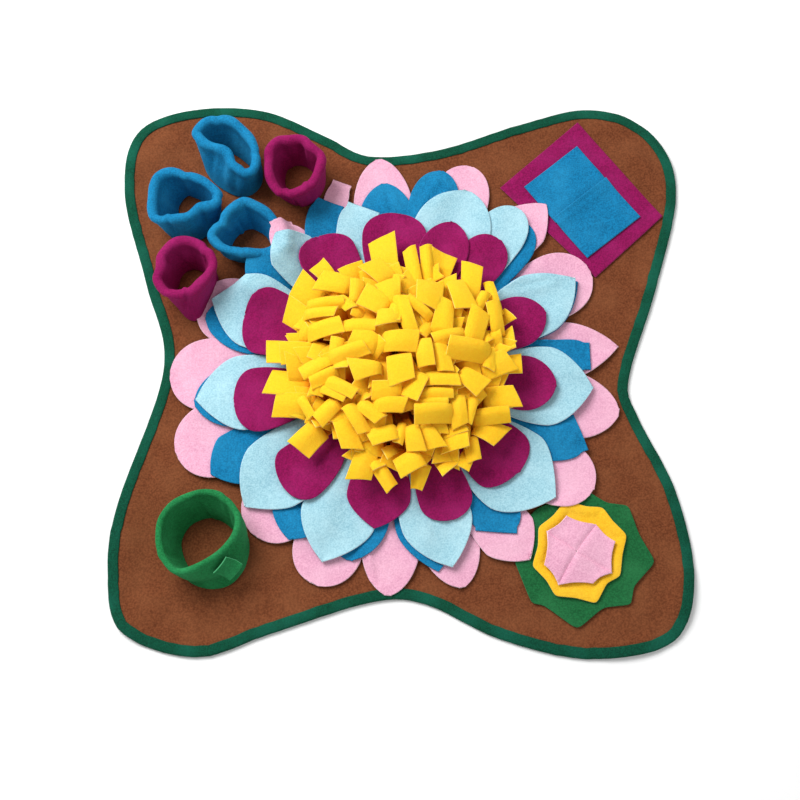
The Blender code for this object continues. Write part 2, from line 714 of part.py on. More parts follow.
# ------------------------------------------------------------------ assembly
def main():
    clear_scene()
    parts = new_collection("snuffle_mat")
    cutters = new_collection("cutters")
    outline = ground_outline()
    low = Pile()            # all but the tubes and the cup

    def lay(name, bm, colour, *piles):
        for pile in piles:
            pile.add(bm)
        add_object(name, bm, colour, parts)

    lay("mat_ground", make_ground(outline), "brown", low)
    lay("edge_binding", make_binding(outline), "binding_green", low)

    lay("magenta_patch", thick_sheet(settle(quad_rows(MAGENTA_PATCH, 3, 0.0), low), FLEECE_THICK),
        "magenta", low)
    for name, corners in BLUE_FLAPS:
        lay(name, thick_sheet(settle(quad_rows(corners, 4, 0.0), low), FLEECE_THICK), "blue", low)
    lay("leaf_patch", flat_piece(LEAF_PATCH, low), "leaf_green", low)
    lay("yellow_octagon", flat_piece(YELLOW_OCTAGON, low), "octagon_yellow", low)
    for index, flap in enumerate([make_pink_flap(index, low) for index in range(4)]):
        lay(f"pink_flap_{index + 1}", flap, "pink", low)

    full = Pile()           # with the tubes and the cup
    full.top = low.top.copy()
    walls = {}
    for name, table, colour, height, tip_up, tip_towards in TUBES:
        walls[name] = TubeWall(table, height, tip_up, tip_towards, tube_floor(table, low))
        lay(name, walls[name].mesh(), colour, full)
    lay("cup_tab", make_tab(walls["green_cup"]), "cup_green", full)

    ring = settle(ring_rows(), low, joined=True)
    lay("pink_petal_ring", thick_sheet(ring, FLEECE_THICK, joined=True), "pink", low, full)
    loose = settle(petal_rows(*PINK_LOOSE_PETAL), full)
    lay("pink_petal_17", thick_sheet(loose, FLEECE_THICK), "pink", low, full)

    petals = []
    rings = (
        ("blue_petal", BLUE_PETALS, "blue"),
        ("light_petal", LIGHT_PETALS, "light_blue"),
        ("magenta_petal", MAGENTA_PETALS, "magenta"),
    )
    for stem, table, colour in rings:
        for number, row in enumerate(table, start=1):
            bm = thick_sheet(settle(petal_rows(*row), low), FLEECE_THICK)
            petals.append(bm.copy())
            lay(f"{stem}_{number:02d}", bm, colour, low, full)

    make_tuft(GROUND_THICK + GAP, petals, parts, cutters)


main()
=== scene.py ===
"""Looks of the fleece snuffle mat.

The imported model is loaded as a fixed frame. Each of its fleece solids is then replaced by cloth: a
thin sheet with its cut edges, folds and creases, laid on what is under it. Sizes are in
millimetres, as in the part's source: X to the right, Y away from the viewer, Z up, the ground's
underside at Z = 0. The meshes are made in metres.
"""

import logging
import math
from dataclasses import dataclass, field
from enum import Enum

import bmesh
import bpy
import numpy as np
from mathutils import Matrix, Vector


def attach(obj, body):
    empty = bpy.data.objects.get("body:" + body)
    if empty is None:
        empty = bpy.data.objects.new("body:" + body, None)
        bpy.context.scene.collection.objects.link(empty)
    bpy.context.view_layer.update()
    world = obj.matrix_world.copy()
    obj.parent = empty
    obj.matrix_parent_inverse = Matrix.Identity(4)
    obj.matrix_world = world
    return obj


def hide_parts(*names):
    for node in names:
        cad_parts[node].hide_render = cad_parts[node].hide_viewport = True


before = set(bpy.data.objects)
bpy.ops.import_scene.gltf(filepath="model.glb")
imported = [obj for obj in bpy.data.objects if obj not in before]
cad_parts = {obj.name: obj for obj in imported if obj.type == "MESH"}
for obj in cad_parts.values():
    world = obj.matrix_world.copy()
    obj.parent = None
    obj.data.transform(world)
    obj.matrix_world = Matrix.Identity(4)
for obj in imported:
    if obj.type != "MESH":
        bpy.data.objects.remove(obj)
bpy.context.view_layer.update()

METRES = 0.001
GAP = 0.35                  # air between sheets that lie on each other
FLEECE = 2.0                # a sheet of fleece
TINY = 1.0e-9               # keeps a division by a length from failing
MERGE = 0.002               # points closer together than this are one point
EDGE_INSET = 0.28           # of its thickness: how far a sheet's faces end short of its cut edge
EDGE_LEVELS = (0.26, 0.74)  # of its thickness, from the top: where its cut edge is widest
NO_EDGE = 50.0              # the distance from a cut edge that a sheet without one is given
CURVE_STEPS = 24            # fine steps between two given points of a smooth curve
WAVER_WAVES = 6             # slow waves that make a sheet uneven
WAVER_RANGE = (0.7, 1.6)    # of their lengths, as shares of the size that is asked for
CREASE_END = 0.35           # share of its rise that a crease keeps all along
CREASE_FADE = 0.8           # how far down its hump the rest has come at the crease's ends
ANY_PHASE = 6.3             # range of a random phase in radians, a little over a full turn
FLOWER_CENTRE = np.array((-6.2, -9.5))
LOG = logging.getLogger("snuffle_mat")

Pair = tuple[float, float]
Row4 = tuple[float, float, float, float]
Grid = np.ndarray           # rows x columns x 3, millimetres
Faces = list[tuple[int, ...]]


class Hold(Enum):
    """How a sheet is held."""

    DRAPED = "draped"
    LAID = "laid"
    FOLDED = "folded"


class Cut(Enum):
    """How a petal's end is cut: the share of its length where it is widest, how late and how steeply
    its sides close in from there, and the share of its width that is left at the end."""

    ROUND = (0.70, 2.2, 0.5, 0.12)
    OVAL = (0.60, 2.0, 0.6, 0.12)
    POINTED = (0.60, 1.7, 0.92, 0.03)
    SQUARE = (0.55, 8.0, 0.5, 0.8)
    BLOCK = (0.55, 4.0, 0.6, 0.5)
    CORNER = (0.78, 1.35, 0.8, 0.05)


@dataclass(frozen=True)
class Viewpoint:
    """Where the photograph was taken from, in millimetres."""

    at: tuple[float, float, float] = (0.0, -534.0, 1626.0)
    look_at: tuple[float, float, float] = (0.0, -36.8, 0.0)
    lens: float = 67.7
    sensor: float = 36.0
    pixels: int = 800

    def place(self, u: float, v: float, height: float) -> np.ndarray:
        """Where something lies that shows at a pixel, when its height is known.

        Args:
            u: The pixel's column.
            v: The pixel's row, from the top.
            height: The height.

        Returns:
            X and Y.
        """
        at, target = np.array(self.at), np.array(self.look_at)
        ahead = (target - at) / np.linalg.norm(target - at)
        right = np.array((1.0, 0.0, 0.0))
        focal = self.lens / self.sensor * self.pixels
        half = 0.5 * self.pixels
        ray = ahead + (right * (u - half) + np.cross(right, ahead) * (half - v)) / focal
        return (at + ray * (height - at[2]) / ray[2])[:2]


VIEWPOINT = Viewpoint()


# ------------------------------------------------------------------ finishes
def linear(colour: str) -> tuple[float, float, float, float]:
    """Turns an sRGB hex colour to linear.

    Args:
        colour: Six hex digits after a hash.

    Returns:
        Red, green, blue and alpha.
    """
    parts = [int(colour[k:k + 2], 16) / 255 for k in (1, 3, 5)]
    red, green, blue = (c / 12.92 if c <= 0.04045 else ((c + 0.055) / 1.055) ** 2.4 for c in parts)
    return (red, green, blue, 1.0)


def add_node(tree: bpy.types.NodeTree, kind: str, settings: dict | None = None,
             links: dict | None = None) -> bpy.types.Node:
    """Adds a node.

    Args:
        tree: The tree that it goes into.
        kind: Blender's name of the node.
        settings: Values by the name of a property, or by the name or number of an input.
        links: The sockets that feed its inputs, by the input's name or number.

    Returns:
        The node.
    """
    node = tree.nodes.new(kind)
    for key, value in (settings or {}).items():
        if isinstance(key, str) and hasattr(node, key):
            setattr(node, key, value)
        else:
            node.inputs[key].default_value = value
    for key, socket in (links or {}).items():
        tree.links.new(socket, node.inputs[key])
    return node


@dataclass(frozen=True)
class PolarFleece:
    """Polar fleece: knitted polyester, brushed on both sides. Its short matted nap takes all gloss
    away, breaks the colour into soft flecks and catches light along folds and cut edges."""

    name: str
    slot: str
    base: str
    deep: str               # in the hollows of the nap; in the tuft also painted shade deep in the gaps between strips
    light: str              # in the soft paler patches, and the sheen's tint
    edge: str               # painted highlight along a cut edge
    edge_share: float = 0.6
    nap_mm: float = 1.7     # real nap is finer than 1 mm, and is drawn coarser so that it shows
    mottle_mm: float = 5.0
    shade_mm: float = 34.0  # the size of the soft paler patches
    nap_depth_mm: float = 0.5
    contrast: float = 0.5
    sheen: float = 0.25
    edge_mm: float = 1.3
    glow: float = 0.0       # of the light that comes through from the next layers

    def material(self) -> bpy.types.Material:
        """Makes the material once.

        Returns:
            The material.
        """
        known = bpy.data.materials.get(self.name)
        if known is not None:
            return known
        material = bpy.data.materials.new(self.name)
        material.use_nodes = True
        tree = material.node_tree
        shader = tree.nodes["Principled BSDF"]
        for socket, value in {
            "Roughness": 0.95, "Specular IOR Level": 0.15, "Sheen Weight": self.sheen,
            "Sheen Roughness": 0.45, "Sheen Tint": linear(self.light),
            "Subsurface Weight": self.glow, "Subsurface Scale": 3.0 * METRES,
            "Subsurface Radius": (1.0, 0.6, 0.2),
        }.items():
            shader.inputs[socket].default_value = value
        place = add_node(tree, "ShaderNodeTexCoord").outputs["Object"]
        noises = []
        for size, detail in ((self.nap_mm, 2.0), (self.mottle_mm, 3.0), (self.shade_mm, 1.0)):
            noises.append(add_node(tree, "ShaderNodeTexNoise",
                                   {"Scale": 1.0 / (size * METRES), "Detail": detail},
                                   {"Vector": place}).outputs["Fac"])
        nap, mottle, shade = noises
        flecks = add_node(tree, "ShaderNodeMapRange",
                          {"From Min": 0.38, "From Max": 0.62, "To Min": 0.0,
                           "To Max": 0.6 * self.contrast}, {"Value": nap})
        patches = add_node(tree, "ShaderNodeMapRange",
                           {"From Min": 0.38, "From Max": 0.62, "To Min": 0.0,
                            "To Max": 0.2 * self.contrast}, {"Value": mottle})
        dark = add_node(tree, "ShaderNodeMath", {"operation": "ADD"},
                        {0: flecks.outputs[0], 1: patches.outputs[0]})
        body = add_node(tree, "ShaderNodeMix",
                        {"data_type": "RGBA", 6: linear(self.base), 7: linear(self.deep)},
                        {0: dark.outputs[0]})
        paler_patches = add_node(tree, "ShaderNodeMapRange",
                        {"From Min": 0.4, "From Max": 0.7, "To Min": 0.0,
                         "To Max": 0.35 * self.contrast}, {"Value": shade})
        tinted = add_node(tree, "ShaderNodeMix", {"data_type": "RGBA", 7: linear(self.light)},
                          {0: paler_patches.outputs[0], 6: body.outputs[2]})
        # Painted shade: the deep colour is laid on points low in the tuft's gaps, by their depth
        # attribute.
        depth = add_node(tree, "ShaderNodeAttribute", {"attribute_name": "depth"})
        tinted = add_node(tree, "ShaderNodeMix", {"data_type": "RGBA", 7: linear(self.deep)},
                          {0: depth.outputs["Fac"], 6: tinted.outputs[2]})
        # Painted highlight: the edge colour is mixed in close to a cut edge, most at the edge itself.
        cut = add_node(tree, "ShaderNodeAttribute", {"attribute_name": "edge"})
        rim = add_node(tree, "ShaderNodeMapRange",
                       {"From Min": 0.3 * self.edge_mm, "From Max": self.edge_mm,
                        "To Min": self.edge_share, "To Max": 0.0},
                       {"Value": cut.outputs["Fac"]})
        colour = add_node(tree, "ShaderNodeMix", {"data_type": "RGBA", 7: linear(self.edge)},
                          {0: rim.outputs[0], 6: tinted.outputs[2]})
        tree.links.new(colour.outputs[2], shader.inputs["Base Color"])
        height = add_node(tree, "ShaderNodeMath", {"operation": "MULTIPLY_ADD", 1: 1.6},
                          {0: mottle, 2: nap})
        bump_node = add_node(tree, "ShaderNodeBump",
                             {"Strength": 0.6, "Distance": self.nap_depth_mm * METRES},
                             {"Height": height.outputs[0]})
        tree.links.new(bump_node.outputs["Normal"], shader.inputs["Normal"])
        return material


@dataclass(frozen=True)
class BrushedTape(PolarFleece):
    """Bias tape cut from thin brushed polyester: closer and darker than the fleece that it binds,
    with fine flecks and a soft line of light along its fold."""

    nap_mm: float = 1.3
    mottle_mm: float = 3.2
    nap_depth_mm: float = 0.35
    edge_share: float = 0.0


@dataclass(frozen=True)
class StudioPaper:
    """Matt white backdrop paper: even, without gloss."""

    name: str = "backdrop_paper_matt"
    colour: str = "#FAFAFA"
    grain_mm: float = 3.0

    def material(self) -> bpy.types.Material:
        """Makes the paper's material.

        Returns:
            The material.
        """
        material = bpy.data.materials.new(self.name)
        material.use_nodes = True
        tree = material.node_tree
        shader = tree.nodes["Principled BSDF"]
        shader.inputs["Base Color"].default_value = linear(self.colour)
        shader.inputs["Roughness"].default_value = 0.9
        place = add_node(tree, "ShaderNodeTexCoord").outputs["Object"]
        grain = add_node(tree, "ShaderNodeTexNoise", {"Scale": 1.0 / (self.grain_mm * METRES)},
                         {"Vector": place})
        relief = add_node(tree, "ShaderNodeBump", {"Strength": 0.1, "Distance": 0.1 * METRES},
                          {"Height": grain.outputs["Fac"]})
        tree.links.new(relief.outputs["Normal"], shader.inputs["Normal"])
        return material


# The fourth colour of each finish is its painted highlight along cut edges.
BROWN = PolarFleece("polar_fleece_brown", "brown_fleece", "#7E472A", "#4E2512", "#8A5535", "#764327",
                    edge_share=0.0, nap_mm=2.0, mottle_mm=4.2, contrast=0.9)
TAPE = BrushedTape("brushed_tape_dark_green", "binding_tape", "#0C543D", "#04261B", "#1C6F5B",
                   "#0B513B", contrast=0.9)
CUP_GREEN = PolarFleece("polar_fleece_grass_green", "cup_green_fleece", "#24854A", "#0F4C26",
                        "#3FA56A", "#7AD0A0", edge_share=0.3, contrast=0.8)
LEAF_GREEN = PolarFleece("polar_fleece_leaf_green", "leaf_green_fleece", "#206B3C", "#0F4022",
                         "#35814F", "#58B078", edge_share=0.35, contrast=0.8)
OCTAGON_YELLOW = PolarFleece("polar_fleece_corn_yellow", "octagon_yellow_fleece", "#F6C32C",
                             "#D8960F", "#FFD65A", "#FFF0A6", contrast=0.5, edge_share=0.8)
# Its deep orange is also painted shade, laid on the tuft's gaps between strips.
TUFT_YELLOW = PolarFleece("polar_fleece_yolk_yellow", "tuft_yellow_fleece", "#FFC928", "#F79208",
                          "#FFD850", "#FFF0A0", contrast=0.25, edge_share=0.4, glow=0.3)
MAGENTA = PolarFleece("polar_fleece_magenta", "magenta_fleece", "#951359", "#5C0834", "#A92C74",
                      "#C8549C", edge_share=0.4, contrast=0.8)
PINK = PolarFleece("polar_fleece_rose_pink", "pink_fleece", "#ECB1C9", "#C2809F", "#F6CADA",
                   "#FFECF3", edge_share=0.8, contrast=0.7)
LIGHT_BLUE = PolarFleece("polar_fleece_ice_blue", "light_blue_fleece", "#AAD6E2", "#72A6B9",
                         "#C4E6EE", "#F2FCFF", edge_share=0.8, mottle_mm=6.5, contrast=0.75)
BLUE = PolarFleece("polar_fleece_lake_blue", "blue_fleece", "#1480B3", "#084C72", "#3099C8",
                   "#6CC4EC", edge_share=0.12, contrast=0.8)


# ------------------------------------------------------------------ curves and sheets
def bump(t: np.ndarray | float) -> np.ndarray:
    """A smooth hump, 1 at 0 and 0 from 1 on."""
    return np.clip(1.0 - np.square(t), 0.0, None) ** 2


def between(before: np.ndarray, start: np.ndarray, end: np.ndarray, after: np.ndarray,
            t: np.ndarray | float) -> np.ndarray:
    """A place on a smooth curve through four points.

    Args:
        before: The point before the start.
        start: The point at share 0.
        end: The point at share 1.
        after: The point after the end.
        t: The share of the way from the start to the end.

    Returns:
        The place.
    """
    return 0.5 * (2 * start + (end - before) * t
                  + (2 * before - 5 * start + 4 * end - after) * t ** 2
                  + (3 * start - before - 3 * end + after) * t ** 3)


def closed_curve(points: tuple, count: int) -> np.ndarray:
    """Points evenly spaced along a smooth closed curve through the given ones.

    Args:
        points: The given points.
        count: How many points are wanted.

    Returns:
        An array of count rows.
    """
    given = np.asarray(points, dtype=float)
    t = np.linspace(0.0, 1.0, CURVE_STEPS, endpoint=False)[None, :, None]
    neighbours = (np.roll(given, -k, axis=0)[:, None, :] for k in (-1, 0, 1, 2))
    fine = between(*neighbours, t)
    return even_ring(fine.reshape(-1, given.shape[1]), count)


def even_ring(ring: np.ndarray, count: int) -> np.ndarray:
    """Spaces a closed line of points evenly.

    Args:
        ring: The line's points.
        count: How many points are wanted.

    Returns:
        An array of count rows.
    """
    closed = np.vstack([ring, ring[:1]])
    run = np.concatenate([[0.0], np.cumsum(np.linalg.norm(np.diff(closed, axis=0), axis=1))])
    at = np.linspace(0.0, run[-1], count, endpoint=False)
    return np.stack([np.interp(at, run, closed[:, k]) for k in range(closed.shape[1])], axis=1)


def outward(ring: np.ndarray) -> np.ndarray:
    """The level directions that point out of a clockwise closed outline.

    Args:
        ring: The outline's points, seen from above.

    Returns:
        One unit direction for each point.
    """
    run = np.roll(ring, -1, axis=0) - np.roll(ring, 1, axis=0)
    side = np.stack([-run[:, 1], run[:, 0]], axis=1)
    return side / np.linalg.norm(side, axis=1, keepdims=True)


def refine(grid: Grid, parts: int) -> Grid:
    """Cuts each cell of a grid into parts by parts smaller ones."""
    for axis in (0, 1):
        count = grid.shape[axis]
        at = np.linspace(0, count - 1, (count - 1) * parts + 1)
        low = np.minimum(at.astype(int), count - 2)
        share = (at - low)[:, None, None]
        if axis == 0:
            grid = grid[low] * (1 - share) + grid[low + 1] * share
        else:
            share = share.transpose(1, 0, 2)
            grid = grid[:, low] * (1 - share) + grid[:, low + 1] * share
    return grid


def closed_grid(grid: Grid) -> Grid:
    """Repeats the first row of a grid that runs round at its end."""
    return np.concatenate([grid, grid[:1]])


def surface_area(grid: Grid) -> float:
    """The area of a sheet, from its cells' diagonals."""
    first = grid[1:, 1:] - grid[:-1, :-1]
    second = grid[1:, :-1] - grid[:-1, 1:]
    return float(0.5 * np.linalg.norm(np.cross(first, second), axis=-1).sum())


def normals(grid: Grid, wrap: bool) -> np.ndarray:
    """The directions in which a sheet faces, up or out.

    Args:
        grid: The sheet's points.
        wrap: Whether its rows run round and join.

    Returns:
        One unit direction for each point.
    """
    if wrap:
        along = np.roll(grid, -1, axis=0) - np.roll(grid, 1, axis=0)
    else:
        along = np.gradient(grid, axis=0)
    facing = np.cross(along, np.gradient(grid, axis=1))
    size = np.linalg.norm(facing, axis=-1, keepdims=True)
    facing = np.where(size > TINY, facing / np.maximum(size, TINY), (0.0, 0.0, 0.0))
    if facing[..., 2].sum() < 0:
        facing = -facing
    facing[size[..., 0] <= TINY] = (0.0, 0.0, 1.0)
    return facing


def hemmed(grid: Grid, wrap: bool, pole: bool, band: float = 1.3) -> Grid:
    """Adds a row of points close to each cut edge, so that the edge is crisp.

    Args:
        grid: The sheet's points.
        wrap: Whether its rows run round and join.
        pole: Whether its first column is one point.
        band: How far from the edge the new rows lie.

    Returns:
        The finer grid.
    """
    for axis in (1,) if wrap else (0, 1):
        lines = np.moveaxis(grid, axis, 0)
        share = []
        for a, b in ((0, 1), (-1, -2)):
            cell = np.linalg.norm(lines[b] - lines[a], axis=-1).mean()
            share.append(min(0.5, band / max(cell, 1e-6)))
        last = lines[-1:] * (1 - share[1]) + lines[-2:-1] * share[1]
        first = lines[:1] * (1 - share[0]) + lines[1:2] * share[0]
        if pole and axis == 1:
            lines = np.concatenate([lines[:-1], last, lines[-1:]])
        else:
            lines = np.concatenate([lines[:1], first, lines[1:-1], last, lines[-1:]])
        grid = np.moveaxis(lines, 0, axis)
    return grid


def edge_distance(points: np.ndarray, borders: list[np.ndarray]) -> np.ndarray:
    """How far each point of a sheet is from its nearest cut edge.

    Args:
        points: The sheet's points.
        borders: The closed lines of its edges.

    Returns:
        One distance for each point.
    """
    best = np.full(len(points), 1e9)
    for border in borders:
        start = border[None]
        run = np.roll(border, -1, axis=0)[None] - start
        away = points[:, None] - start
        share = np.clip((away * run).sum(-1) / np.maximum((run * run).sum(-1), TINY), 0.0, 1.0)
        gap = np.linalg.norm(away - share[..., None] * run, axis=-1)
        best = np.minimum(best, gap.min(axis=1))
    return best


def shell(grid: Grid, thick: float, wrap: bool = False, pole: bool = False, lift: float = 1.0,
          cut_edges: bool = True) -> tuple[np.ndarray, Faces, np.ndarray]:
    """Gives a sheet its thickness and rounds its cut edges.

    Args:
        grid: The sheet's points, on its underside when lift is 1 and in its middle when it is 0.5.
        thick: The sheet's thickness.
        wrap: Whether its rows run round and join.
        pole: Whether its first column is one point.
        lift: The share of the thickness that lies over the points.
        cut_edges: Whether its edges are cut edges that show.

    Returns:
        Points, faces, and each point's distance from a cut edge.
    """
    grid = hemmed(grid, wrap, pole)
    rows, columns = grid.shape[:2]
    facing = normals(grid, wrap)
    inward = np.zeros_like(grid)
    if not pole:
        inward[:, 0] += grid[:, 1] - grid[:, 0]
    inward[:, -1] += grid[:, -2] - grid[:, -1]
    if not wrap:
        inward[0] += grid[1] - grid[0]
        inward[-1] += grid[-2] - grid[-1]
    inward /= np.maximum(np.linalg.norm(inward, axis=-1, keepdims=True), TINY)
    upper = grid + facing * lift * thick + inward * EDGE_INSET * thick
    lower = grid - facing * (1 - lift) * thick + inward * EDGE_INSET * thick
    ids = np.arange(rows * columns).reshape(rows, columns)
    flat = grid.reshape(-1, 3)
    flat_facing = facing.reshape(-1, 3)
    if wrap:
        loops = [ids[:, -1]] if pole else [ids[:, 0], ids[:, -1]]
    else:
        loops = [np.concatenate([ids[0], ids[1:, -1], ids[-1, -2::-1], ids[-2:0:-1, 0]])]
    after = np.roll(ids, -1, axis=0) if wrap else ids[1:]
    here = ids if wrap else ids[:-1]
    quads = np.stack([here[:, :-1], here[:, 1:], after[:, 1:], after[:, :-1]], axis=-1)
    quads = quads.reshape(-1, 4)
    faces = [quads, quads[:, ::-1] + rows * columns]
    points = [upper.reshape(-1, 3), lower.reshape(-1, 3)]
    total = 2 * rows * columns
    for loop in loops:
        points += [flat[loop] + flat_facing[loop] * (lift - level) * thick for level in EDGE_LEVELS]
        size = len(loop)
        levels = [loop, np.arange(total, total + size), np.arange(total + size, total + 2 * size),
                  loop + rows * columns]
        total += 2 * size
        for a, b in zip(levels, levels[1:]):
            faces.append(np.stack([a, np.roll(a, -1), np.roll(b, -1), b], axis=-1))
    points = np.concatenate(points)
    if cut_edges:
        distance = edge_distance(points[:rows * columns], [flat[loop] for loop in loops])
        distance = np.concatenate([distance, distance, np.zeros(total - 2 * rows * columns)])
    else:
        distance = np.full(total, NO_EDGE)
    return points, [tuple(face) for face in np.concatenate(faces).tolist()], distance


def new_piece(name: str, points: np.ndarray, faces: Faces, distance: np.ndarray,
              finish: PolarFleece, depth: np.ndarray | None = None) -> bpy.types.Object:
    """Makes an object of closed fleece shells.

    Args:
        name: The piece's name.
        points: Its points, in millimetres.
        faces: Its faces.
        distance: Each point's distance from a cut edge.
        finish: What it is made of.
        depth: How far each point takes on the finish's deep colour, from 0 to 1: painted shade in the
            tuft's gaps.

    Returns:
        The object, smooth, closed, and with its faces pointing out.
    """
    mesh = bpy.data.meshes.new(name)
    mesh.from_pydata((points * METRES).tolist(), [], faces)
    given = {"edge": distance, "depth": np.zeros(len(points)) if depth is None else depth}
    for attribute, values in given.items():
        layer = mesh.attributes.new(attribute, "FLOAT", "POINT")
        layer.data.foreach_set("value", np.asarray(values, dtype=np.float32))
    bm = bmesh.new()
    bm.from_mesh(mesh)
    bmesh.ops.remove_doubles(bm, verts=bm.verts, dist=MERGE * METRES)
    bmesh.ops.recalc_face_normals(bm, faces=bm.faces)
    bm.to_mesh(mesh)
    bm.free()
    mesh.materials.append(finish.material())
    mesh.shade_smooth()
    piece = bpy.data.objects.new(name, mesh)
    bpy.context.scene.collection.objects.link(piece)
    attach(piece, "root")
    return piece


@dataclass
class Sheet:
    """One sheet of fleece on its way to being a piece."""

    name: str
    grid: Grid
    finish: PolarFleece
    nodes: tuple[str, ...]
    held: Hold
    rests_on: tuple[str, ...]
    flat: Pair
    area: float
    thick: float = FLEECE
    wrap: bool = False
    pole: bool = False
    lift: float = 1.0
    cut_edges: bool = True

    def build(self) -> bpy.types.Object:
        """Returns:
            The piece's object.
        """
        parts = shell(self.grid, self.thick, self.wrap, self.pole, self.lift, self.cut_edges)
        piece = new_piece(self.name, *parts, self.finish)
        if self.nodes:
            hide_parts(*self.nodes)
        LOG.info("%s: %d faces, cut %.0f x %.0f mm", self.name, len(piece.data.polygons), *self.flat)
        return piece


class Pile:
    """The height of all that lies on the floor so far, on a square grid seen from above."""

    REACH = 350.0
    STEP = 2.0

    def __init__(self, top: np.ndarray | None = None) -> None:
        """Starts from nothing, or from the heights of another pile."""
        count = int(2 * self.REACH / self.STEP) + 1
        self.top = np.zeros((count, count)) if top is None else top.copy()

    def indices(self, values: np.ndarray) -> np.ndarray:
        """The grid's numbers of some coordinates."""
        return np.clip(np.rint((values + self.REACH) / self.STEP).astype(int), 1, len(self.top) - 2)

    def add(self, grid: Grid, thick: float, wrap: bool = False) -> None:
        """Lays a sheet on the pile.

        Args:
            grid: The points of its underside.
            thick: Its thickness.
            wrap: Whether its rows run round and join.
        """
        whole = closed_grid(grid) if wrap else grid
        cell = max(np.linalg.norm(np.diff(whole, axis=axis), axis=-1).max() for axis in (0, 1))
        fine = refine(whole, max(1, math.ceil(cell / (0.6 * self.STEP))))
        i, j = self.indices(fine[..., 0]), self.indices(fine[..., 1])
        np.maximum.at(self.top, (i.ravel(), j.ravel()), fine[..., 2].ravel() + thick)

    def under(self, grid: Grid) -> np.ndarray:
        """The greatest height within a grid step or so of each point."""
        wide = self.top
        for axis in (0, 1):
            wide = np.maximum(wide, np.maximum(np.roll(wide, 1, axis), np.roll(wide, -1, axis)))
        return wide[self.indices(grid[..., 0]), self.indices(grid[..., 1])]

    def drape(self, grid: Grid, wrap: bool = False, stiffness: int = 10, ease: int = 6) -> Grid:
        """Lets a sheet down on the pile.

        Args:
            grid: The sheet's points, with the heights that it has by its own shape.
            wrap: Whether its rows run round and join.
            stiffness: How many times the sheet bridges what is hollow under it.
            ease: How many times it is smoothed.

        Returns:
            The same grid, no lower than the pile anywhere.
        """
        floor = self.under(grid) + GAP
        height = np.maximum(grid[..., 2], floor)
        for turn in range(stiffness + ease):
            padded = np.pad(height, 1, mode="edge")
            if wrap:
                padded[0, 1:-1], padded[-1, 1:-1] = height[-1], height[0]
            mean = 0.25 * (padded[:-2, 1:-1] + padded[2:, 1:-1] + padded[1:-1, :-2]
                           + padded[1:-1, 2:])
            if turn < stiffness:
                height = np.maximum(height, mean)
            else:
                height = np.maximum(floor, 0.5 * (height + mean))
        grid[..., 2] = height
        return grid


@dataclass(frozen=True)
class Crease:
    """A soft ridge or trough in a sheet, along a line seen from above."""

    start: Pair
    end: Pair
    half_width: float
    rise: float             # below 0 for a trough

    def press(self, grid: Grid) -> None:
        """Moves a sheet's points up or down along the line."""
        start = np.array(self.start)
        run = np.array(self.end) - start
        away = grid[..., :2] - start
        share = np.clip((away @ run) / max(float(run @ run), TINY), 0.0, 1.0)
        gap = np.linalg.norm(away - share[..., None] * run, axis=-1)
        fade = bump(2.0 * CREASE_FADE * share - CREASE_FADE)
        along = CREASE_END + (1.0 - CREASE_END) * fade
        grid[..., 2] += self.rise * bump(gap / self.half_width) * along


def quad_grid(corners: tuple[Pair, Pair, Pair, Pair], count: int) -> Grid:
    """Points over a four-cornered piece.

    Args:
        corners: Its corners in order.
        count: Cells along each side.

    Returns:
        The grid, at height 0.
    """
    a, b, c, d = (np.array((x, y, 0.0)) for x, y in corners)
    u = np.linspace(0.0, 1.0, count + 1)
    left = a + (b - a) * u[:, None]
    right = d + (c - d) * u[:, None]
    return left[:, None] * (1 - u[None, :, None]) + right[:, None] * u[None, :, None]


def fan_grid(outline: np.ndarray, middle: np.ndarray, rings: int) -> Grid:
    """Points over a piece with many corners, from one point in its middle to its outline."""
    share = np.linspace(0.0, 1.0, rings + 1)[None, :, None]
    level = middle + (outline[:, None] - middle) * share
    return np.concatenate([level, np.zeros_like(level[..., :1])], axis=-1)


def cut_outline(corners: tuple[Pair, ...], steps: int, rounding: int) -> np.ndarray:
    """The outline of a piece cut with straight sides and slightly rounded corners.

    Args:
        corners: Its corners in order.
        steps: Points along a side.
        rounding: How many times the corners are eased.

    Returns:
        The outline's points.
    """
    given = np.asarray(corners, dtype=float)
    share = np.linspace(0.0, 1.0, steps, endpoint=False)[None, :, None]
    ring = (given[:, None] * (1 - share) + np.roll(given, -1, axis=0)[:, None] * share)
    ring = ring.reshape(-1, 2)
    for _ in range(rounding):
        ring = 0.5 * ring + 0.25 * (np.roll(ring, 1, axis=0) + np.roll(ring, -1, axis=0))
    return ring


def waver(grid: Grid, amount: float, size: float, seed: int) -> None:
    """Gives a sheet slow, uneven rises, as cloth that has been handled.

    Args:
        grid: The sheet's points.
        amount: The greatest rise or fall.
        size: How far apart the rises are.
        seed: Where the pattern starts.
    """
    rng = np.random.default_rng(seed)
    total = np.zeros(grid.shape[:2])
    for _ in range(WAVER_WAVES):
        turn = rng.uniform(0.0, 2.0 * math.pi)
        wave = 2.0 * math.pi / (size * rng.uniform(*WAVER_RANGE))
        phase = rng.uniform(0.0, 2.0 * math.pi)
        line = grid[..., 0] * math.cos(turn) + grid[..., 1] * math.sin(turn)
        total += np.sin(line * wave + phase)
    grid[..., 2] += amount * total / (0.5 * WAVER_WAVES)


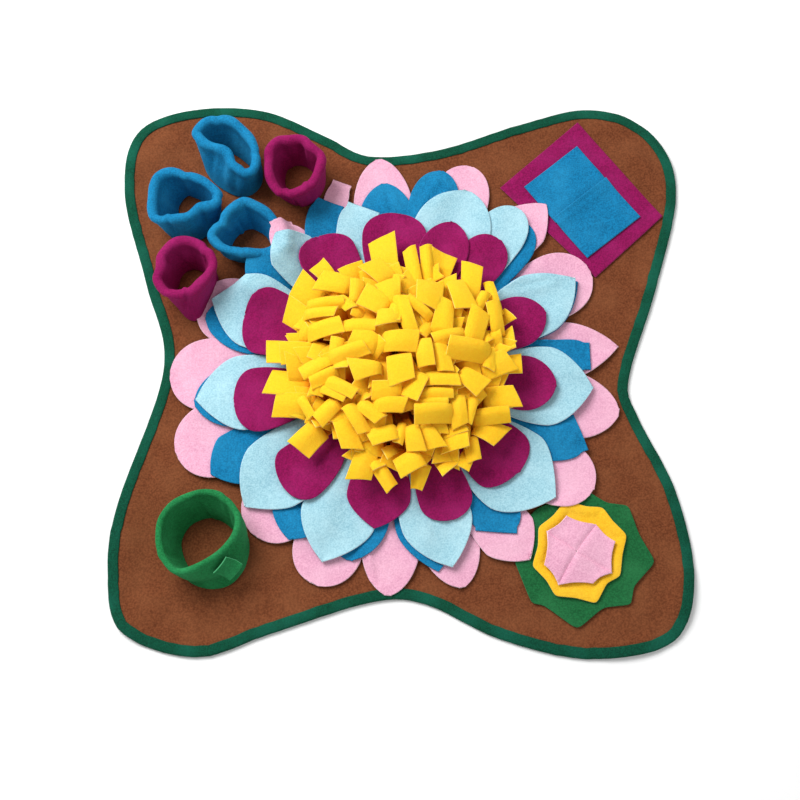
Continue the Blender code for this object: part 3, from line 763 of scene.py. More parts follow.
# ------------------------------------------------------------------ ground and binding
@dataclass
class Ground:
    """The brown fleece ground and the tape folded over its edge."""

    outline: tuple[Pair, ...] = (
        (-240, 325), (-162, 323), (-89, 290), (-36, 264), (48, 273), (144, 306), (228, 325),
        (299, 294), (325, 219), (295, 96), (259, -13), (267, -58), (305, -144), (320, -240),
        (294, -310), (204, -329), (108, -308), (27, -270), (-32, -268), (-140, -302), (-220, -327),
        (-302, -299), (-319, -231), (-311, -153), (-269, -1), (-294, 102), (-325, 216), (-311, 297),
    )
    # Soft swells: x, y, turn in degrees, half length, half width, rise.
    swells: tuple[tuple[float, ...], ...] = (
        (-303, -205, 88, 78, 26, 5.0), (-276, -276, 50, 60, 26, 3.5), (-291, 272, 40, 66, 28, 4.5),
        (-250, 306, 8, 50, 20, 3.0), (292, 258, -48, 40, 17, 3.5), (306, -258, 68, 56, 17, 3.5),
        (250, -317, 5, 50, 14, 2.5), (262, 308, 8, 46, 18, 2.5),
    )
    creases: tuple[Crease, ...] = (
        Crease((262, 277), (290, 248), 9.0, 4.5),
        Crease((214, -282), (262, -292), 16.0, 1.2),
        Crease((-150, -262), (-190, -286), 18.0, 1.4),
        Crease((284, -60), (286, 10), 12.0, 1.0),
    )
    thick: float = 3.0
    edge_thick: float = 2.4
    free_inset: float = 24.0
    inner_rows: Pair = (20.0, 16.0)     # rows of points between the free part and the tape
    clear: float = 1.0              # the ground is pressed flat from this far inside the tape
    ground_end: float = 0.5         # and ends this far in from the tape's fold
    tape_width: float = 12.2
    tape_middle: float = 7.0        # a row of points between the tape's fold and its edges
    tape_thick: float = 1.0
    tape_fold: float = 1.4
    fold_points: int = 9
    fold_inset: float = 0.2         # of the fold's round side from the outline
    fold_flat: float = 1.0          # how far in from the fold the tape's inner side is flat again
    tape_rise: float = 0.3          # of the tape's upper side in its middle
    tape_slope: Pair = (1.2, 0.1)   # where that side starts to fall, in from its edge, and its rise
    tape_drop: float = 0.5          # of that side at its edge
    inner_drop: float = 0.3         # of the inner side under it
    puckers: int = 8                # waves that make the tape uneven
    pucker_counts: tuple[int, int] = (60, 150)
    pucker_size: float = 0.09
    pucker_edge: float = 1.2        # how strongly they move the tape's edges in and out
    pucker_fold: float = 0.5        # and the rest of it
    pucker_rise: float = 0.8        # and its upper side up
    pucker_line: float = 9.0        # how far in the part near the edges starts
    pucker_seed: int = 11
    stations: int = 304
    rings: int = 60

    def swell(self, points: np.ndarray) -> np.ndarray:
        """How far the ground's underside stands off the floor.

        Args:
            points: Places seen from above.

        Returns:
            One height for each place.
        """
        rise = np.zeros(points.shape[:-1])
        for cx, cy, turn, half_length, half_width, height in self.swells:
            angle = math.radians(turn)
            dx, dy = points[..., 0] - cx, points[..., 1] - cy
            along = dx * math.cos(angle) + dy * math.sin(angle)
            across = dy * math.cos(angle) - dx * math.sin(angle)
            rise = np.maximum(rise, height * bump(along / half_length) * bump(across / half_width))
        return rise

    def ring(self) -> np.ndarray:
        """The stations along the outer edge, with the middle of their box at the origin."""
        points = closed_curve(self.outline, self.stations)
        return points - 0.5 * (points.min(axis=0) + points.max(axis=0))

    def build(self, pile: Pile) -> None:
        """Makes both pieces and lays them on the pile.

        Args:
            pile: The pile, empty so far.
        """
        ring = self.ring()
        out = outward(ring)
        pressed = self.tape_thick + GAP
        edge_rise = self.swell(ring - out * self.tape_width)
        inner = ring - out * self.free_inset
        shares = np.linspace(0.0, 1.0, self.rings)[None, :, None]
        level = inner[:, None] * shares
        level = np.concatenate([level, np.zeros_like(level[..., :1])], axis=-1)
        level[..., 2] = self.swell(level[..., :2])
        for crease in self.creases:
            crease.press(level)
        columns = [level]
        pressing = self.free_inset - self.tape_width - self.clear
        for distance in (*self.inner_rows, self.tape_width + self.clear, self.tape_middle,
                         self.tape_fold + self.ground_end):
            share = min(1.0, (self.free_inset - distance) / pressing)
            place = ring - out * distance
            height = self.swell(place) * (1 - share) + (edge_rise + pressed) * share
            columns.append(np.concatenate([place, height[:, None]], axis=1)[:, None])
        grid = np.concatenate(columns, axis=1)
        pile.add(grid, self.thick, wrap=True)
        size = 2.0 * np.abs(ring).max(axis=0)
        Sheet("ground_cloth", grid, BROWN, ("mat_ground",), Hold.LAID, ("floor",),
              (size[0], size[1]), surface_area(closed_grid(grid * (1, 1, 0))), self.edge_thick,
              wrap=True, pole=True, cut_edges=False).build()
        self.build_tape(ring, out, edge_rise, pile)

    def build_tape(self, ring: np.ndarray, out: np.ndarray, rise: np.ndarray, pile: Pile) -> None:
        """Makes the tape: a strip folded round the ground's edge.

        Args:
            ring: The stations along its outer edge.
            out: The outward direction at each.
            rise: How far the edge stands off the floor at each.
            pile: The pile that it is laid on.
        """
        height = 2 * (self.tape_thick + GAP) + self.edge_thick
        half = 0.5 * height
        lower = [(self.tape_width, 0.0), (self.tape_middle, 0.0)]
        fold = [(half + self.fold_inset - half * math.cos(t), half + half * math.sin(t))
                for t in np.radians(np.linspace(-90.0, 90.0, self.fold_points))]
        slope_at, slope_rise = self.tape_slope
        upper = [(self.tape_middle, height + self.tape_rise),
                 (self.tape_width - slope_at, height + slope_rise),
                 (self.tape_width, height - self.tape_drop)]
        inside = height - self.tape_thick
        flat_from = self.tape_fold + self.fold_flat
        inner = [(self.tape_width, inside - self.inner_drop), (self.tape_middle, inside),
                 (flat_from, inside), (self.tape_fold, half), (flat_from, self.tape_thick),
                 (self.tape_middle, self.tape_thick), (self.tape_width, self.tape_thick)]
        rng = np.random.default_rng(self.pucker_seed)
        pucker = np.zeros((self.stations, 2))
        for _ in range(self.puckers):
            wave = rng.integers(*self.pucker_counts)
            phase = rng.uniform(0, 2 * math.pi, 2)
            at = np.arange(self.stations)[:, None] * (2 * math.pi * wave / self.stations)
            pucker += np.sin(at + phase) * self.pucker_size
        sections = []
        for distance, level in lower + fold + upper + inner:
            sideways = self.pucker_edge if distance > self.pucker_line else self.pucker_fold
            upwards = self.pucker_rise if level > half else 0.0
            place = ring - out * (distance + pucker[:, :1] * sideways)
            z = level + rise[:, None] + np.abs(pucker[:, 1:]) * upwards
            sections.append(np.concatenate([place, z], axis=1))
        grid = np.stack(sections, axis=1)
        rows, columns = grid.shape[:2]
        ids = np.arange(rows * columns).reshape(rows, columns)
        after = np.roll(ids, -1, axis=0)
        quads = np.stack([ids, np.roll(ids, -1, axis=1), np.roll(after, -1, axis=1), after], axis=-1)
        faces = [tuple(face) for face in quads.reshape(-1, 4).tolist()]
        piece = new_piece("edge_tape", grid.reshape(-1, 3), faces,
                          np.full(rows * columns, NO_EDGE), TAPE)
        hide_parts("edge_binding")
        first = len(lower + fold)
        pile.add(grid[:, first:first + len(upper)], 0.0, wrap=True)


# ------------------------------------------------------------------ patches
@dataclass
class SquarePatch:
    """The magenta patch and the two blue flaps on it."""

    patch: tuple[Pair, ...] = ((118, 223), (212, 308), (307, 186), (226, 110))
    flap_1: tuple[Pair, ...] = ((146, 223), (210, 276), (246, 228), (182, 177))
    flap_2: tuple[Pair, ...] = ((178, 182), (242, 234), (281, 185), (217, 133))
    cells: int = 26
    uneven: Pair = (0.5, 60.0)  # the sheets' slow rises: how high, and how far apart
    allowance: float = 1.06     # of a sheet as cut, over its sides as laid

    def lay(self, name: str, corners: tuple[Pair, ...], finish: PolarFleece, node: str, under: str,
            creases: tuple[Crease, ...], pile: Pile, seed: int) -> None:
        """Lays one four-cornered sheet.

        Args:
            name: The piece's name.
            corners: Its corners.
            finish: What it is made of.
            node: The node that it replaces.
            under: The piece that it lies on.
            creases: Its ridges and troughs.
            pile: The pile that it is laid on.
            seed: Where its unevenness starts.
        """
        flat = quad_grid(corners, self.cells)
        grid = flat.copy()
        grid[..., 2] = pile.under(grid).min() + GAP
        waver(grid, *self.uneven, seed)
        pile.drape(grid)
        for crease in creases:
            crease.press(grid)
        pile.add(grid, FLEECE)
        a, b, _, d = (np.array(corner) for corner in corners)
        size = (float(np.linalg.norm(b - a)), float(np.linalg.norm(d - a)))
        Sheet(name, grid, finish, (node,), Hold.LAID, (under,),
              (size[0] * self.allowance, size[1] * self.allowance), surface_area(flat)).build()

    def build(self, pile: Pile) -> None:
        """Makes the patch and its flaps."""
        self.lay("patch_cloth", self.patch, MAGENTA, "magenta_patch", "ground_cloth",
                 (Crease((135, 225), (160, 246), 9.0, 0.8),), pile, 21)
        self.lay("flap_cloth_1", self.flap_1, BLUE, "blue_flap_1", "patch_cloth",
                 (Crease((224, 250), (240, 232), 9.0, 1.4), Crease((172, 188), (236, 240), 8.0, 0.8)),
                 pile, 22)
        self.lay("flap_cloth_2", self.flap_2, BLUE, "blue_flap_2", "flap_cloth_1",
                 (Crease((180, 184), (244, 234), 5.0, 1.7),), pile, 23)


@dataclass
class LeafFlower:
    """The leaf patch, the yellow eight-sided piece on it and the four pink flaps on that."""

    leaf: tuple[Pair, ...] = (
        (124, -220), (142, -268), (156, -271), (191, -297), (220, -273), (250, -270), (254, -250),
        (279, -223), (262, -192), (252, -160), (228, -157), (206, -143), (150, -163), (128, -192),
    )
    octagon: tuple[Pair, ...] = (
        (183, -155), (204, -162), (223, -163), (233, -178), (248, -194), (242, -216), (239, -239),
        (224, -247), (212, -269), (190, -263), (168, -261), (159, -244), (144, -228), (151, -206),
        (152, -185), (168, -173),
    )
    flap_centre: Pair = (192, -213)
    flap_corners: tuple[Pair, ...] = (
        (160, -190), (182, -173), (215, -182), (235, -202), (230, -237), (209, -248), (171, -250),
        (156, -228),
    )
    # A sheet's rise over its lowest part: share of the way out, height.
    leaf_rise: tuple[Pair, ...] = ((0.0, 0.0), (0.8, 0.0), (1.0, 0.9))
    octagon_rise: tuple[Pair, ...] = (
        (0.0, 0.0), (0.78, 0.0), (0.83, 1.8), (0.88, 2.5), (0.96, 2.4), (1.0, 1.4),
    )
    fold_width: float = 3.0     # of the creases across the yellow piece's raised band
    fold_depth: float = 1.4
    seam: float = 0.2
    seam_dip: float = 2.0       # how far the flaps sink where they meet
    seam_width: float = 5.0
    scallop: float = 2.2        # how far a flap's outer sides are cut in
    crown: float = 3.5
    crown_radius: float = 40.0
    side_points: int = 8
    rounding: int = 2           # how many times the corners are eased
    rings: int = 34
    fold_start: float = 0.8     # share of the way out at which the band's creases start
    flap_points: int = 19
    uneven: Pair = (0.4, 50.0)  # the slow rises of the two fans: how high, and how far apart
    flap_uneven: Pair = (0.35, 40.0)
    flap_seed: int = 60

    def fan(self, name: str, corners: tuple[Pair, ...], finish: PolarFleece, node: str, under: str,
            pile: Pile, rise: tuple[Pair, ...], creases: tuple[Crease, ...] = ()) -> None:
        """Lays one many-cornered sheet.

        Args:
            name: The piece's name.
            corners: Its corners.
            finish: What it is made of.
            node: The node that it replaces.
            under: The piece that it lies on.
            pile: The pile that it is laid on.
            rise: How it rises towards its outer edge.
            creases: Its ridges and troughs.
        """
        outline = cut_outline(corners, self.side_points, self.rounding)
        middle = outline.mean(axis=0)
        flat = fan_grid(outline, middle, self.rings)
        grid = flat.copy()
        grid[..., 2] = pile.under(grid).min() + GAP
        share = np.linspace(0.0, 1.0, grid.shape[1])
        grid[..., 2] += np.interp(share, *np.array(rise).T)[None, :]
        for crease in creases:
            crease.press(grid)
        waver(grid, *self.uneven, len(corners))
        pile.drape(grid, wrap=True, stiffness=2, ease=1)
        pile.add(grid, FLEECE, wrap=True)
        size = outline.max(axis=0) - outline.min(axis=0)
        Sheet(name, grid, finish, (node,), Hold.LAID, (under,), (size[0], size[1]),
              surface_area(closed_grid(flat)), wrap=True, pole=True).build()

    def build(self, pile: Pile) -> None:
        """Makes the leaf patch and its flower."""
        self.fan("leaf_cloth", self.leaf, LEAF_GREEN, "leaf_patch", "ground_cloth", pile,
                 self.leaf_rise)
        middle = np.mean(self.octagon, axis=0)
        folds = tuple(Crease(tuple(middle + self.fold_start * (np.array(corner) - middle)), corner,
                             self.fold_width, -self.fold_depth) for corner in self.octagon[::2])
        self.fan("octagon_cloth", self.octagon, OCTAGON_YELLOW, "yellow_octagon", "leaf_cloth",
                 pile, self.octagon_rise, folds)
        size = len(self.flap_corners)
        share = np.linspace(0.0, 1.0, self.flap_points)
        first, second = share[:, None], share[None, :]
        grids = []
        for index in range(4):
            corners = [self.flap_centre] + [self.flap_corners[(2 * index + k) % size] for k in range(3)]
            middle = np.mean(corners, axis=0)
            drawn = []
            for corner in corners:
                away = np.array(corner) - middle
                drawn.append(tuple(middle + away * (1.0 - self.seam / np.linalg.norm(away))))
            flat = quad_grid(tuple(drawn), len(share) - 1)
            inward = np.array((*self.flap_centre, 0.0)) - flat
            inward /= np.maximum(np.linalg.norm(inward, axis=-1, keepdims=True), 1e-6)
            cut_in = first ** 3 * second * (1 - second) + second ** 3 * first * (1 - first)
            flat = flat + inward * (4.0 * self.scallop * cut_in)[..., None]
            grid = pile.drape(flat.copy())
            reach = np.linalg.norm(grid[..., :2] - np.array(self.flap_centre), axis=-1)
            grid[..., 2] += self.crown * bump(reach / self.crown_radius)
            sides = [np.linalg.norm(np.subtract(drawn[k], drawn[0])) for k in (1, 3)]
            gap = np.minimum(first * sides[0], second * sides[1])
            grid[..., 2] += self.seam_dip * (1.0 - bump(gap / self.seam_width))
            waver(grid, *self.flap_uneven, self.flap_seed + index)
            grids.append((flat, grid, np.array(drawn)))
        for index, (flat, grid, drawn) in enumerate(grids):
            pile.add(grid, FLEECE)
            extent = drawn.max(axis=0) - drawn.min(axis=0)
            Sheet(f"pink_flap_cloth_{index + 1}", grid, PINK, (f"pink_flap_{index + 1}",), Hold.LAID,
                  ("octagon_cloth",), (extent[0], extent[1]), surface_area(flat)).build()


# ------------------------------------------------------------------ tubes and cup
@dataclass(frozen=True)
class Fold:
    """A place where a tube's wall is pushed out or in, or its rim is lower or higher."""

    station: float          # share of the way round
    reach: float            # half its width, as a share of the way round
    push: float             # outwards, or inwards below 0
    share: float = 1.0      # of the wall's height, where it is strongest
    spread: float = 0.8     # of the wall's height, over which it fades
    rise: float = 0.0       # of the rim


@dataclass
class Tube:
    """An open tube of fleece, folded double so that its rim is a soft roll, sewn down at its foot."""

    name: str
    node: str
    finish: PolarFleece
    table: tuple[Row4, ...]
    height: float = 50.0
    tip_up: float = 0.0
    tip_towards: float = 0.0
    folds: tuple[Fold, ...] = ()
    seed: int = 1
    roll: float = 4.1       # radius of the rim's roll, to the middle of the cloth
    wall_half: float = 1.9  # half the way between the two layers
    cloth: float = 2.7
    sag: float = 5.0        # how far the inner layer hangs in at its foot
    puff: float = 0.13      # how unevenly thick the roll is
    wrinkles: int = 10
    # The ranges of a wrinkle's reach, push, share and spread, in that order.
    wrinkle_spans: tuple[Pair, ...] = ((0.012, 0.035), (-2.2, 1.2), (0.1, 0.9), (0.35, 0.8))
    wave_counts: tuple[int, ...] = (2, 3, 5, 7)     # waves round the rim that make it uneven
    wave_size: Pair = (0.2, 0.6)
    belly: float = 0.8      # how far both layers stand out at half height
    cut_share: float = 0.97     # of the rectangle that the cloth is cut from
    stations: int = 132

    def build(self, low: Pile, full: Pile) -> None:
        """Makes the tube and lays it on the pile that holds the tubes.

        Args:
            low: The pile that it stands on.
            full: The pile that also holds the tubes.
        """
        feet = closed_curve([row[:2] for row in self.table], self.stations)
        rims = closed_curve([row[2:] for row in self.table], self.stations)
        foot_out, rim_out = outward(feet), outward(rims)
        floor = float(low.under(feet[:, None]).max()) + GAP
        towards = math.radians(self.tip_towards)
        from_centre = rims - rims.mean(axis=0)
        side = np.cos(np.arctan2(from_centre[:, 1], from_centre[:, 0]) - towards)
        top = self.height + self.tip_up * side
        at = np.arange(self.stations) / self.stations
        rng = np.random.default_rng(self.seed)
        waves = [sum(np.sin(2 * math.pi * at * k + rng.uniform(0, ANY_PHASE))
                     * rng.uniform(*self.wave_size) for k in self.wave_counts) for _ in range(2)]
        top = top + waves[0]
        thickness = 1.0 + self.puff * waves[1]
        folds = list(self.folds)
        for _ in range(self.wrinkles):
            folds.append(Fold(rng.random(), *(rng.uniform(*span) for span in self.wrinkle_spans)))
        for fold in self.folds:
            away = np.abs((at - fold.station + 0.5) % 1.0 - 0.5)
            top = top + fold.rise * bump(away / fold.reach)
        shares = (0.0, 0.1, 0.2, 0.32, 0.45, 0.58, 0.7, 0.8)
        section = [(self.wall_half, share, False) for share in shares]
        section += [(self.roll * math.cos(turn), math.sin(turn), True)
                    for turn in np.radians(np.linspace(-20, 200, 12))]
        section += [(-self.wall_half - self.sag * (1.0 - share) ** 1.5, share, False)
                    for share in reversed(shares)]
        columns = []
        for offset, level, rolled in section:
            if rolled:
                height = top - 0.5 * self.cloth + self.roll * (level * thickness - 1.0)
                offset = offset * thickness
            else:
                height = level * (top - self.roll)
            share = np.clip(height / top, 0.0, 1.0)
            place = feet + (rims - feet) * share[:, None]
            out = foot_out + (rim_out - foot_out) * share[:, None]
            out /= np.linalg.norm(out, axis=1, keepdims=True)
            push = np.zeros(self.stations)
            for fold in folds:
                away = np.abs((at - fold.station + 0.5) % 1.0 - 0.5)
                push += fold.push * bump(away / fold.reach) * bump((share - fold.share) / fold.spread)
            belly = self.belly * bump(2 * share - 1) * np.sign(offset)
            place = place + out * (offset + push + belly)[:, None]
            columns.append(np.concatenate([place, (floor + height)[:, None]], axis=1))
        grid = np.stack(columns, axis=1)
        full.add(grid, 0.5 * self.cloth, wrap=True)
        girth = float(np.linalg.norm(np.diff(closed_grid(0.5 * (feet + rims)), axis=0), axis=1).sum())
        length = 2.0 * self.height + math.pi * self.roll
        Sheet(self.name, grid, self.finish, (self.node,), Hold.FOLDED, ("ground_cloth",),
              (length, girth), length * girth * self.cut_share, self.cloth, wrap=True, lift=0.5,
              cut_edges=False).build()


def tubes() -> list[Tube]:
    """The five tubes and the cup, each row of a table a station of the wall: foot, then rim."""
    tube_a = (
        (-228, 258, -237, 274), (-221, 271, -226, 287), (-208, 277, -209, 290),
        (-194, 276, -195, 287), (-180, 268, -180, 273), (-169, 255, -169, 255),
        (-165, 241, -166, 238), (-167, 227, -170, 224), (-176, 217, -184, 222),
        (-189, 215, -193, 233), (-203, 221, -203, 246), (-216, 231, -217, 253),
        (-226, 245, -230, 264),
    )
    tube_b = (
        (-268, 190, -285, 192), (-268, 203, -284, 207), (-262, 214, -279, 218),
        (-252, 220, -266, 223), (-241, 219, -250, 220), (-230, 214, -234, 216),
        (-220, 205, -221, 209), (-213, 193, -209, 196), (-214, 180, -214, 184),
        (-222, 168, -229, 179), (-233, 160, -242, 169), (-246, 157, -256, 166),
        (-257, 158, -270, 164), (-265, 165, -281, 166), (-268, 177, -285, 178),
    )
    tube_c = (
        (-203, 150, -214, 142), (-199, 161, -210, 153), (-191, 171, -201, 167),
        (-181, 177, -190, 180), (-170, 178, -179, 188), (-159, 173, -166, 184),
        (-149, 165, -152, 176), (-143, 153, -141, 163), (-143, 142, -136, 148),
        (-150, 134, -142, 134), (-161, 131, -155, 128), (-175, 131, -171, 127),
        (-188, 133, -188, 127), (-199, 140, -204, 131),
    )
    tube_d = (
        (-143, 238, -152, 238), (-140, 249, -151, 251), (-132, 257, -143, 262),
        (-121, 260, -128, 265), (-109, 258, -113, 263), (-99, 251, -100, 254),
        (-92, 241, -91, 243), (-91, 229, -92, 230), (-95, 217, -97, 216),
        (-103, 207, -104, 204), (-112, 203, -116, 198), (-122, 204, -130, 194),
        (-132, 209, -142, 200), (-139, 217, -149, 212), (-143, 227, -152, 225),
    )
    tube_e = (
        (-262, 104, -273, 98), (-258, 116, -272, 113), (-250, 124, -266, 126),
        (-240, 128, -255, 135), (-229, 126, -241, 138), (-219, 119, -227, 133),
        (-213, 109, -215, 123), (-216, 97, -211, 109), (-222, 84, -216, 96),
        (-227, 71, -224, 86), (-232, 60, -234, 77), (-241, 61, -247, 72),
        (-251, 72, -260, 71), (-259, 84, -269, 80), (-264, 95, -274, 90),
    )
    cup_f = (
        (-247, -203, -259, -199), (-243, -188, -257, -184), (-234, -176, -247, -169),
        (-221, -169, -232, -160), (-206, -166, -215, -154), (-192, -170, -198, -156),
        (-181, -178, -185, -164), (-172, -190, -177, -175), (-168, -204, -174, -188),
        (-169, -219, -178, -202), (-174, -233, -190, -217), (-186, -243, -206, -229),
        (-203, -246, -223, -239), (-220, -244, -238, -241), (-234, -236, -249, -231),
        (-243, -221, -257, -215),
    )
    return [
        Tube("tube_cloth_a", "blue_tube_a", BLUE, tube_a, seed=3, folds=(
            Fold(0.80, 0.14, -4.5, 0.9, 0.6), Fold(0.66, 0.05, -4.0, 0.75, 0.45),
            Fold(0.73, 0.05, 4.0, 0.6, 0.5), Fold(0.86, 0.04, -3.0, 0.6, 0.45),
            Fold(0.30, 0.16, -3.5, 0.2, 0.7), Fold(0.35, 0.08, 1.5, 0.5, 0.5))),
        Tube("tube_cloth_b", "blue_tube_b", BLUE, tube_b, 48.0, seed=5, folds=(
            Fold(0.62, 0.03, -3.2, 0.6, 0.45), Fold(0.70, 0.05, 3.0, 0.55, 0.4),
            Fold(0.78, 0.03, -2.4, 0.5, 0.45), Fold(0.52, 0.05, 2.0, 0.9, 0.3, 1.5),
            Fold(0.10, 0.12, -3.5, 0.3, 0.7))),
        Tube("tube_cloth_c", "blue_tube_c", BLUE, tube_c, 42.0, 7.0, 150.0, seed=7, folds=(
            Fold(0.10, 0.04, -4.0, 0.7, 0.5), Fold(0.02, 0.05, 2.0, 0.6, 0.5),
            Fold(0.9, 0.06, 2.5, 0.4, 0.4), Fold(0.22, 0.05, -3.0, 0.5, 0.5))),
        Tube("tube_cloth_d", "magenta_tube_d", MAGENTA, tube_d, seed=9, folds=(
            Fold(0.19, 0.055, -3.0, 0.7, 0.5), Fold(0.34, 0.06, -3.0, 0.65, 0.5),
            Fold(0.265, 0.03, 1.2, 0.7, 0.4), Fold(0.76, 0.03, -3.0, 0.8, 0.4, -1.5))),
        Tube("tube_cloth_e", "magenta_tube_e", MAGENTA, tube_e, seed=13, folds=(
            Fold(0.04, 0.06, -3.5, 0.7, 0.5), Fold(0.5, 0.06, 2.0, 0.6, 0.5),
            Fold(0.83, 0.05, -3.0, 0.7, 0.5), Fold(0.22, 0.06, -2.5, 0.4, 0.5))),
        Tube("cup_cloth", "green_cup", CUP_GREEN, cup_f, 46.0, seed=15, roll=2.3, wrinkles=6,
             folds=(Fold(0.72, 0.14, 4.5, 0.0, 0.14), Fold(0.70, 0.13, -3.0, 0.22, 0.16),
                    Fold(0.45, 0.06, 1.5, 0.6, 0.5), Fold(0.30, 0.10, -2.5, 0.4, 0.6))),
    ]


@dataclass
class CupTab:
    """The small square of fleece that lies against the cup's outer side."""

    grow: float = 1.12      # over the CAD tab, whose corners are cut off by the wall's curve
    turn: float = -30.0     # degrees, about the direction in which the wall faces
    right: float = 6.0
    up: float = 0.5
    stand_off: float = 3.6
    bow: float = 1.2
    flare: float = 6.0      # how far its lower side stands away from the wall
    points: int = 13        # along each side
    allowance: float = 1.05     # of the tab as cut, over its sides as laid

    def build(self, full: Pile) -> None:
        """Makes the tab over the CAD tab's own box.

        Args:
            full: The pile that also holds the tubes.
        """
        node = bpy.data.objects["cup_tab"]
        points = np.array([tuple(vertex.co) for vertex in node.data.vertices]) / METRES
        centre = points.mean(axis=0)
        _, _, axes = np.linalg.svd(points - centre, full_matrices=False)
        normal = axes[2] if axes[2][1] < 0 else -axes[2]
        up = np.array((0.0, 0.0, 1.0)) - normal * normal[2]
        up /= np.linalg.norm(up)
        across = np.cross(up, normal)
        spread = [self.grow * float(np.abs((points - centre) @ way).max()) for way in (across, up)]
        middle = centre + normal * (self.stand_off - 0.5 * FLEECE) + across * self.right + up * self.up
        turn = math.radians(self.turn)
        across, up = (across * math.cos(turn) - up * math.sin(turn),
                      up * math.cos(turn) + across * math.sin(turn))
        u = np.linspace(-1.0, 1.0, self.points)[:, None, None]
        v = np.linspace(-1.0, 1.0, self.points)[None, :, None]
        away = self.bow * (1 - u ** 2) + self.flare * np.clip(-v, 0, 1) ** 2
        grid = middle + across * (u * spread[0]) + up * (v * spread[1]) + normal * away
        full.add(grid, FLEECE)
        Sheet("tab_cloth", grid, CUP_GREEN, ("cup_tab",), Hold.LAID, ("cup_cloth",),
              (2 * spread[0] * self.allowance, 2 * spread[1] * self.allowance),
              4 * spread[0] * spread[1]).build()


# ------------------------------------------------------------------ petals
@dataclass(frozen=True)
class Petal:
    """One petal: where its tip is and points about the flower's centre, and how it is cut."""

    angle: float
    radius: float
    points_at: float
    width: float
    tip_height: float
    cut: Cut = Cut.ROUND
    lean: float = 0.0       # how much fuller its side further round is


